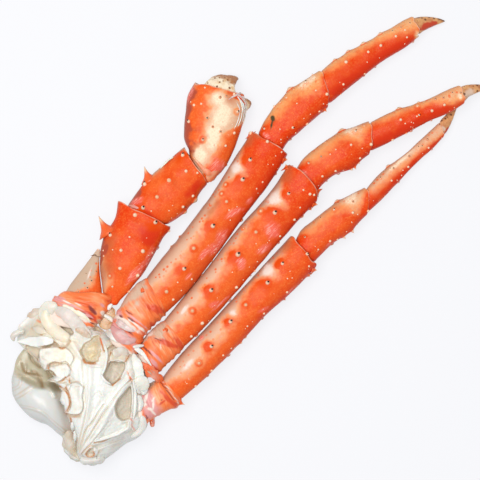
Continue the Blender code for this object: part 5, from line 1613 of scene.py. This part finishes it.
# Each fold: corners from the shoulder's middle with a lift above what is there, half-widths at
# root, middle and end, half-thickness, curl across, how torn its edge is, and paint. Its level
# is the least height it lies at; at is a height that holds whatever lies there.
IVORY = ("tan", "grey", "pink", "yellow", "cream", "amber", "orange")
FOLD_SIDES = 32
FOLD_STEPS = 16
FOLDS = (
    dict(way=((18, 62.5, -0.3), (13, 65, 0.7), (8.5, 65, 0.9), (4.5, 60, 0.5)), wide=(3.6, 5.8, 5.2),
         thick=1.8, cream=0.35, grey=0.15, tan=0.1, torn=0.05),
    dict(way=((12.5, 66, 0), (6.5, 63.5, 1.2), (4, 54.7, 1.2), (5, 45.7, 0.9), (8.2, 38.2, 0)),
         wide=(3.8, 4.9, 4.4), thick=2.8, cream=0.75, tan=0.12, torn=0.05),
    dict(way=((15.5, 62.5, 0.2), (18, 53.5, 0.8), (19.2, 45, 0.9), (19.4, 37, 0.7), (20.2, 29, -0.2)),
         wide=(4.2, 5, 3.6), thick=0.5, pink=0.06, tan=0.25, grey=0.35, torn=0.08),
    dict(way=((16.5, 41, 0.7), (19, 35, 0.9), (20.4, 28.6, 0)), wide=(1.2, 2.8, 1.6), thick=0.5, pink=0,
         tan=0.6, amber=0.15, torn=0.25),
    dict(way=((21, 60.5, 0.1), (24.5, 52, 0.3), (27, 45, 0.2), (28.5, 38, 0)), wide=(1.2, 1.8, 0.8),
         thick=0.3, cream=0.7, tan=0.15, torn=0.3),
    dict(way=((-8, 68, -4), (-1, 69, -3), (6, 68, -3)), wide=(3, 5, 3), thick=2.5, grey=0.3, tan=0.5,
         amber=0.1),
    dict(level=30,
         way=((-23.5, 63.6, -3), (-17, 58.5, 0), (-11.5, 53, 2.5), (-6.5, 49.5, 4), (-1.5, 45, 3)),
         wide=(0.5, 3.8, 2.2), thick=0.9, curl=0.25, torn=0.12),
    dict(level=26, way=((-24.5, 65, -1), (-22.5, 68.2, 1), (-17.5, 67.8, 1.5), (-14, 65, 1)),
         wide=(1.4, 2.2, 1.5), thick=1, grey=0.4, tan=0.2),
    dict(level=29, way=((-31.5, -9, 0.5), (-34.5, -12.5, 0), (-37.5, -15, -2)), wide=(1, 1.1, 0.3),
         thick=0.5),
    dict(level=26, way=((-35, -15, 0.5), (-38.5, -19.7, 0), (-42, -22, -2)), wide=(0.9, 1.2, 0.3),
         thick=0.5),
    dict(level=17,
         way=((-37, -3, 0), (-40.5, -12, 0), (-44.5, -19, -1), (-47.5, -26, -2), (-46.5, -34, -3)),
         wide=(3.4, 5.8, 5.2), thick=5, grey=0.4, tan=0.8),
    dict(level=14, way=((-51, -20, 0), (-50.5, -26, 0.5), (-48.5, -32.5, 0)), wide=(1.6, 2.8, 1.8),
         thick=4, grey=0.6, tan=0.1),
    dict(level=13, way=((-47, -33.5, -2), (-43, -38.5, -2), (-37, -42.5, -2), (-33, -42, -2)),
         wide=(3, 3.4, 3), thick=4.5, grey=0.6),
    dict(way=((-29, -30.8, 0.3), (-22, -34.3, 0.6), (-13, -38, 0.6), (-4, -40, 0.6), (0, -37, 0.3)),
         wide=(0.5, 1, 0.6), thick=0.6),
    dict(way=((39.2, 2.4, 0), (42.4, 0.2, 0.4), (46, -2.4, 0)), wide=(1, 1.4, 0.9), thick=1, torn=0.1),
    dict(way=((39.6, 1, -0.2), (41.2, -5.5, 0.5), (40.6, -12.3, 0.5), (39.2, -21.6, 0)),
         wide=(1.6, 1.3, 0.25), thick=0.6, curl=0.2, torn=0.1),
    dict(way=((37.6, 24.5, 0), (37.4, 17, 0.5), (39.5, 9.5, 0.5), (44.5, 4.5, 0)), wide=(2.2, 4.2, 2),
         thick=1, pink=1, torn=0.1),
    dict(way=((42, 30.5, 0), (43.6, 23.5, 0.4), (45, 16.5, 0.5), (48, 10, 0)), wide=(1.4, 2.3, 1.2),
         thick=0.6, pink=0.12, torn=0.12),
    dict(way=((25, 8.6, 0), (29.5, 5.8, 0.5), (33.5, 1.5, 0)), wide=(2.6, 3.9, 2.6), thick=1, tan=0.3,
         grey=0.1, amber=0.08, torn=0.1),
    dict(way=((24.8, -16.5, -1.2), (26.2, -22.3, 0.2), (23.2, -27.4, -1)), wide=(3.2, 5.2, 3.2),
         thick=2.4, cream=0.2, torn=0.08),
    dict(way=((17.5, -26.5, -0.5), (15.3, -32, 0.3), (10, -36.5, 0)), wide=(1.8, 3, 1.8), thick=1.3,
         grey=0.2, torn=0.1),
    dict(way=((9.6, -40, -0.3), (6.2, -45, 0), (0.5, -47.8, -0.2), (-8, -47.5, -1)), wide=(2, 3.2, 1.8),
         thick=1.7, grey=0.2, torn=0.1),
    dict(way=((23, -16, 0), (17.5, -24.5, 0.3), (9.5, -33, 0.4), (3.5, -38, 0)), wide=(0.6, 1.1, 0.7),
         thick=0.6, torn=0.1),
    dict(at=24, way=((31, 27, 0), (36, 29.5, 0), (41, 32, 0), (47, 34.5, 0)), wide=(5, 6.5, 3),
         thick=1.2, tan=1, yellow=0.15, grey=0.6, amber=0.25),
    dict(at=27, way=((36.5, 37.5, 0), (39.5, 32, 0.4), (40.5, 26, 0)), wide=(0.8, 1.6, 0.9), thick=0.7,
         tan=0.2, torn=0.3),
    dict(level=24, way=((35, -8.5, 0.4), (36.5, -16, 0.6), (37, -24, 0.6), (39, -31, 0)),
         wide=(1.4, 3.8, 3), thick=0.9, curl=0.12, orange=0.95, amber=0.2, torn=0.4),
    dict(level=24, way=((34.6, -12, 0.9), (37.2, -18.5, 1.4), (38.6, -24.5, 1.2), (41, -29.5, 0.3)),
         wide=(0.3, 0.7, 0.4), thick=0.5, orange=0.9, torn=0.4),
    dict(level=24, way=((35.4, -15.5, 0.9), (35.8, -21.5, 1.3), (37, -27, 0.8)), wide=(0.3, 0.6, 0.3),
         thick=0.4, amber=0.7, tan=0.3, torn=0.4),
    dict(way=((36, -1.5, 0), (32.3, -9.5, 0.5), (27.5, -17, 0.4), (24.5, -21, 0)), wide=(2, 4.2, 2.4),
         thick=1, cream=0.1, torn=0.15),
    dict(way=((26, -20, 0), (25.5, -25, 0.6), (20.5, -29.5, 0)), wide=(1.6, 3.4, 1.8), thick=1,
         torn=0.15),
    dict(at=14, way=((13.5, -44.5, 0), (11.2, -49, 0), (8.6, -52.4, 0)), wide=(2.6, 2.2, 1.7), thick=2.2,
         cream=0.3, orange=0.8, torn=0.1),
    dict(at=31, way=((43.6, 35, -0.5), (46, 36, 0.5), (49, 36.4, 0)), wide=(1, 1.6, 1), thick=1.2,
         torn=0.1),
    dict(way=((31.2, 24.6, 0), (33, 19, 0.5), (33.4, 12.5, 0)), wide=(1.4, 2.4, 1.2), thick=0.8,
         cream=0.1, torn=0.15),
    dict(way=((25.4, 18.8, 0), (22.5, 13, 0.6), (16.5, 6.5, 0.6), (10.5, 2.5, 0.1)),
         wide=(0.6, 1.1, 0.6), thick=0.7, torn=0.1),
    dict(way=((9, 4, 0), (7.8, -2, 0.5), (9, -7.5, 0.3)), wide=(0.5, 0.9, 0.6), thick=0.6, torn=0.1))


def shoulder_way(fold):
    """The corners of a fold that lies on the shoulder or the coxae, and straight up at each."""
    way = np.array(fold["way"], float)
    way[:, :2] += SHOULDER_MIDDLE + (TOP_LEAN, 0.0)
    way[:, 2] += [fold.get("at", max(fold.get("level", 0.0), cover_height(x, y)))
                  for x, y, _ in way]
    return way, np.tile((0.0, 0.0, 1.0), (len(way), 1))


def limb_way(fold, segment):
    """The corners of a fold that lies on a limb, given by share, angle and lift."""
    frames = [surface_frame(segment, place, angle) for place, angle, _ in fold["way"]]
    way = [here + lift * normal for (here, normal, _), (_, _, lift) in zip(frames, fold["way"])]
    return np.array(way), np.array([normal for _, normal, _ in frames])


def fold_points(way, ups, fold, seed):
    """A flattened tube along a smooth way: a lens-shaped section that sags, rolls and curls.

    Across the way lies half-width times the cosine, and up it half-thickness times the sine,
    lifted by the curl times the square of the share across.
    """
    corners = np.arange(len(way))
    along = np.linspace(0, len(way) - 1, FOLD_STEPS * len(way))
    middle = np.stack([smooth_through(corners, way[:, n], along) for n in range(3)], axis=-1)
    above = np.stack([smooth_through(corners, ups[:, n], along) for n in range(3)], axis=-1)
    place = along / along[-1]
    ahead = np.gradient(middle, axis=0)
    side = np.cross(above, ahead)
    side /= np.linalg.norm(side, axis=-1, keepdims=True)
    upward = np.cross(ahead, side)
    upward /= np.linalg.norm(upward, axis=-1, keepdims=True)
    wide = smooth_through((0, 0.5, 1), fold["wide"], place)
    ends = np.sqrt(np.clip(1 - np.abs(2 * place - 1) ** 8, 0.02, 1))
    angle = np.radians(np.arange(FOLD_SIDES) * 360.0 / FOLD_SIDES)
    across = np.cos(angle)[None, :]
    lens = (np.sin(angle) * (0.35 + 0.65 * np.abs(np.sin(angle))))[None, :]
    rough, tattered = (
        cloud(np.stack(np.broadcast_arrays(middle[:, :1] + reach * across, middle[:, 1:2],
                                           level * seed), axis=-1), cell, kind)
        for reach, level, cell, kind in ((3, 1, 5.0, 91), (9, 3, 2.4, 92)))
    reach = (wide * ends)[:, None] * across * (1 + 0.15 * rough + fold.get("torn", 0.3) * tattered)
    rise = fold["thick"] * ends[:, None] * lens
    rise = rise + fold.get("curl", 0.0) * wide[:, None] * across ** 2 * (1 + 0.5 * rough)
    rise = rise + 0.2 * rough
    steps = np.linalg.norm(np.diff(middle, axis=0, prepend=middle[:1]), axis=-1)
    distance = np.cumsum(steps)[:, None] + 0 * reach
    return (middle[:, None] + reach[..., None] * side[:, None] + rise[..., None] * upward[:, None],
            reach, distance)


def fold_piece(name, ways, folds):
    """Folds joined in one mesh, each with its own paint and a tan line along its edges, which is partly
    painted shade.
    """
    parts, faces, count = [], [], 0
    masks = {mask_name: [] for mask_name in (*IVORY, "crease", "valley_shade", "fan", "reach")}
    side = np.radians(np.arange(FOLD_SIDES) * 360.0 / FOLD_SIDES)
    rim = 0.6 * bell(np.abs(np.cos(side)) - 1, 0.017)
    for number, ((way, ups), fold) in enumerate(zip(ways, folds)):
        points, reach, distance = fold_points(way, ups, fold, 7.0 * number)
        vertices, part_faces = tube_mesh(points)
        if signed_volume(vertices, part_faces) < 0:
            part_faces = [face[::-1] for face in part_faces]
        parts.append(vertices)
        faces += [[corner + count for corner in face] for face in part_faces]
        count += len(vertices)
        mottle = cloud(vertices, 3.5, 93)
        for mask_name in IVORY:
            masks[mask_name].append(fold.get(mask_name, 0.0) * (1 + 0.45 * mottle))
        masks["valley_shade"].append(np.zeros(len(vertices)))
        masks["crease"].append(with_poles(np.broadcast_to(rim, points.shape[:2])))
        masks["fan"].append(with_poles(reach / 1.2 + 5.0 * number))
        masks["reach"].append(with_poles(distance / 14.0))
    masks = {mask_name: np.concatenate(values) for mask_name, values in masks.items()}
    piece = make_piece(name, np.vstack(parts), faces, masks, shoulder_membrane)
    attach(piece, "root")


fold_piece("shoulder_folds", [shoulder_way(fold) for fold in FOLDS], FOLDS)


# ------------------------------------------------------------
# Membranes of the claw. Thin skin that shows where the palm is jointed to the arm, and white
# strands torn along the palm's back edge to the fingers; placed by share, angle and lift.
CLAW_SKINS = (
    dict(on="palm", way=((0, 60, 0.8), (0.01, 90, 0.6), (0.03, 120, 0.4), (0.05, 150, 0)),
         wide=(0.8, 1.8, 2.6), thick=0.7, orange=0.75, yellow=0.3, cream=0.3, torn=0.1),
    dict(on="palm", way=((-0.02, 130, -1), (0.06, 150, 0), (0.13, 170, -1)), wide=(3, 4.5, 2.5),
         thick=0.9, orange=0.7, tan=0.6, yellow=0.3, torn=0.1),
    dict(on="palm", way=((0.6, 150, 0.1), (0.72, 152, 0.3), (0.84, 148, 0.4), (0.95, 136, 0.2)),
         wide=(0.3, 0.6, 0.5), thick=0.35, cream=0.2),
    dict(on="palm", way=((0.66, 166, 0.1), (0.78, 160, 0.3), (0.88, 150, 0.4), (0.96, 128, 0.2)),
         wide=(0.3, 0.7, 0.5), thick=0.35),
    dict(on="palm", way=((0.62, 176, 0.1), (0.74, 174, 0.4), (0.86, 168, 0.5), (0.97, 156, 0.3)),
         wide=(0.4, 0.9, 0.9), thick=0.5, cream=0.2),
    dict(on="palm", way=((0.8, 178, 0.2), (0.88, 166, 0.6), (0.94, 150, 0.7), (0.97, 132, 0.4)),
         wide=(0.5, 1, 0.8), thick=0.5, pink=0.15),
    dict(on="palm", way=((0.88, 112, 0.1), (0.93, 122, 0.5), (0.97, 135, 0.6), (1, 150, 0.3)),
         wide=(0.4, 0.9, 1.1), thick=0.5, pink=0.15),
    dict(on="palm", way=((0.52, 136, 0.1), (0.66, 144, 0.2), (0.8, 140, 0.3), (0.9, 126, 0.1)),
         wide=(0.2, 0.45, 0.3), thick=0.25, pink=0.1),
    dict(on="carpus", way=((0, 20, 0.4), (0.02, 42, 0.6), (0.04, 66, 0.4)), wide=(0.8, 1.3, 0.7),
         thick=0.5, pink=0.35, cream=0.4, orange=0.35),
    dict(on="carpus", way=((0.6, 20, 0), (0.68, 22, 0.6), (0.76, 20, 0.6), (0.82, 22, 0)),
         wide=(0.5, 1.3, 0.8), thick=0.4, cream=0.3))
by_name = {segment["name"]: segment for segment in CLAW}
fold_piece("claw_membranes", [limb_way(fold, by_name[fold["on"]]) for fold in CLAW_SKINS],
           CLAW_SKINS)


# ------------------------------------------------------------
# Body meat. The smooth pale bulb of meat that swells from the torn side of the shoulder, with
# a deep pocket of thin olive membrane above it.
MEAT_MIDDLE = np.array((-200.0, -10.1))
MEAT_RADII = (21.5, 24.0, 30.5, 37.0, 34.0, 28.0, 24.5, 22.5, 20.5, 19.5, 20.0, 21.5,
              25.5, 40.0, 34.0, 25.0, 22.0, 21.0)
MEAT_RIM = 13.0
MEAT_DOME = 29.0
MEAT_FALL = 400.0
MEAT_UNDER = ((0.995, 0.1), (0.985, 0.22), (0.97, 0.38), (0.95, 0.54), (0.92, 0.68), (0.88, 0.82),
              (0.84, 0.93), (0.8, 0.985), (FOOT_SHARE, 1), (0.5, 1), (0.1, 1))
MEAT_COLUMNS = 420
MEAT_RINGS = 84
# Thin skins over the bulb: corners from the meat's middle, half-width and height.
MEAT_SKINS = (
    (((-18, 4), (-12, -3), (-8, -11), (-7, -21), (-6, -32)), 1, 1),
    (((-19, 12), (-10, 10), (2, 8), (8, 0), (7, -8)), 1.4, 1.2),
    (((-17, 18), (-8, 16), (-2, 20), (4, 16), (8, 10)), 1, 1),
    (((-3, 36), (-2, 26), (2, 16), (4, 10)), 1.2, 1.2), (((-8, 30), (-6, 24), (0, 20), (5, 24)), 0.9, 1),
    (((-14, 22), (-6, 28), (4, 30)), 1.1, 0.9))
POCKET = (
    (2, 42), (10, 40), (18, 34), (19, 24), (18, 12), (18, 0), (16, -10), (11, -8), (6, 0), (-1, 9),
    (-5, 22), (-4, 34))
# Crevices of the pocket and along the torn edge: corners, half-width and strength. Their brown is
# painted shade in the crevices; the one along the torn edge is partly the brown skin there as well.
CREVICES = (
    (((6, 17.5), (7.3, 13.1), (6.4, 8.6), (4.9, 4)), 1.5, 1),
    (((3.5, 27), (2, 24), (1.5, 21.5), (3.2, 18), (6, 14.5)), 1.1, 1),
    (((14, 30), (11, 24), (12, 16)), 1, 1), (((16, 12), (13, 4), (12, -6)), 2.2, 0.8),
    (((13, -5), (8, -13), (4, -21), (1, -27), (-3, -33), (-9, -37)), 2.8, 0.55))
BULB_WHITE = (0.61, 0.62, 0.60)
BULB_CLOUD = (0.60, 0.585, 0.54)
BULB_SHADE = (0.52, 0.515, 0.46)
POCKET_OLIVE = (0.48, 0.44, 0.32)
SKIN_LINE = (0.50, 0.41, 0.29)
CREVICE_SHADE_BROWN = (0.30, 0.20, 0.10)

turn = np.arange(MEAT_COLUMNS) * 360.0 / MEAT_COLUMNS
share = 1 - np.linspace(0.995, 0.0, MEAT_RINGS) ** 1.2
edge = round_edge(MEAT_RADII, turn)
edge = edge + 0.3 * cloud(np.stack((turn / 14, 0 * turn, 0 * turn), -1), 1.0, 101)
x, y = from_polar(share[:, None] * edge, turn)
height = MEAT_DOME - (x ** 2 + y ** 2) / MEAT_FALL
height = height + 6.0 * np.exp(-((x + 6) / 17) ** 2 - ((y + 8) / 22) ** 2)
height = height - 6.0 * np.exp(-((x - 13) / 14) ** 2 - ((y - 20) / 14) ** 2)
rough = cloud(np.stack((x, y, 0 * x), axis=-1), 5.0, 102)
pocket = depth_inside(x, y, POCKET) + 0.8 * rough
height = height - 7.0 * smooth_step(-1.0, 5.0, pocket)
line = np.zeros_like(x)
for corners, wide, high in MEAT_SKINS:
    gap, place = line_distance(x, y, corners)
    height = height + high * bell(gap, wide) * (0.5 + 0.5 * place)
    line = np.maximum(line, bell(gap - wide, 0.55))
crevice = np.zeros_like(x)
for corners, wide, strength in CREVICES:
    gap, place = line_distance(x, y, corners)
    dip = bell(gap + 0.3 * rough, wide)
    height = height - 1.2 * dip
    crevice = np.maximum(crevice, strength * dip * (0.8 + 0.4 * rough))
rounding = np.sqrt(1 - share[:, None] ** 3.2)
level = MEAT_RIM + (np.maximum(height, MEAT_RIM) - MEAT_RIM) * rounding
points = np.stack((x, y, level + 0.2 * rough * rounding), axis=-1)
under_share, drop = (np.array(values)[:, None] for values in zip(*MEAT_UNDER))
radius = under_share * edge
level = MEAT_RIM * (1 - drop) + 0 * radius
under = np.stack((*from_polar(radius, turn), level), -1)
shade = bell(share[:, None] - 1, 0.16) * 0.6 + 0 * x
masks = {name: np.concatenate((np.clip(values, 0, 1), np.full(under.shape[:2], below)))
         for name, values, below in (("pocket", smooth_step(-2.0, 3.0, pocket), 0.0),
                                     ("shade", shade, 0.7), ("line", line, 0.0),
                                     ("crevice", crevice, 0.0))}

bulb_meat, nodes, shader, spot = new_material("bulb_meat")
patchy = nodes.noise(spot, 60.0, 3.0, 0.5)
lined = nodes.times(nodes.mask("line"), patchy)
flesh = nodes.coats(BULB_WHITE, (nodes.stretch(patchy, 0.45, 0.75), BULB_CLOUD), ("shade", BULB_SHADE),
                    (nodes.ragged(spot, "pocket", 120.0, 0.6), POCKET_OLIVE), (lined, SKIN_LINE),
                    ("crevice", CREVICE_SHADE_BROWN))
nodes.finish(shader, flesh, patchy, 0.2, 0.24, Subsurface_Weight=0.2,
             Subsurface_Scale=0.004, Coat_Weight=0.06)
nodes.relief(shader, nodes.noise(spot, 200.0, 4.0, 0.6), 0.0005, 0.3)

points = np.concatenate((points, under))
points[..., :2] += MEAT_MIDDLE
tube_piece("body_meat_bulb", points, masks, bulb_meat, "body_meat")
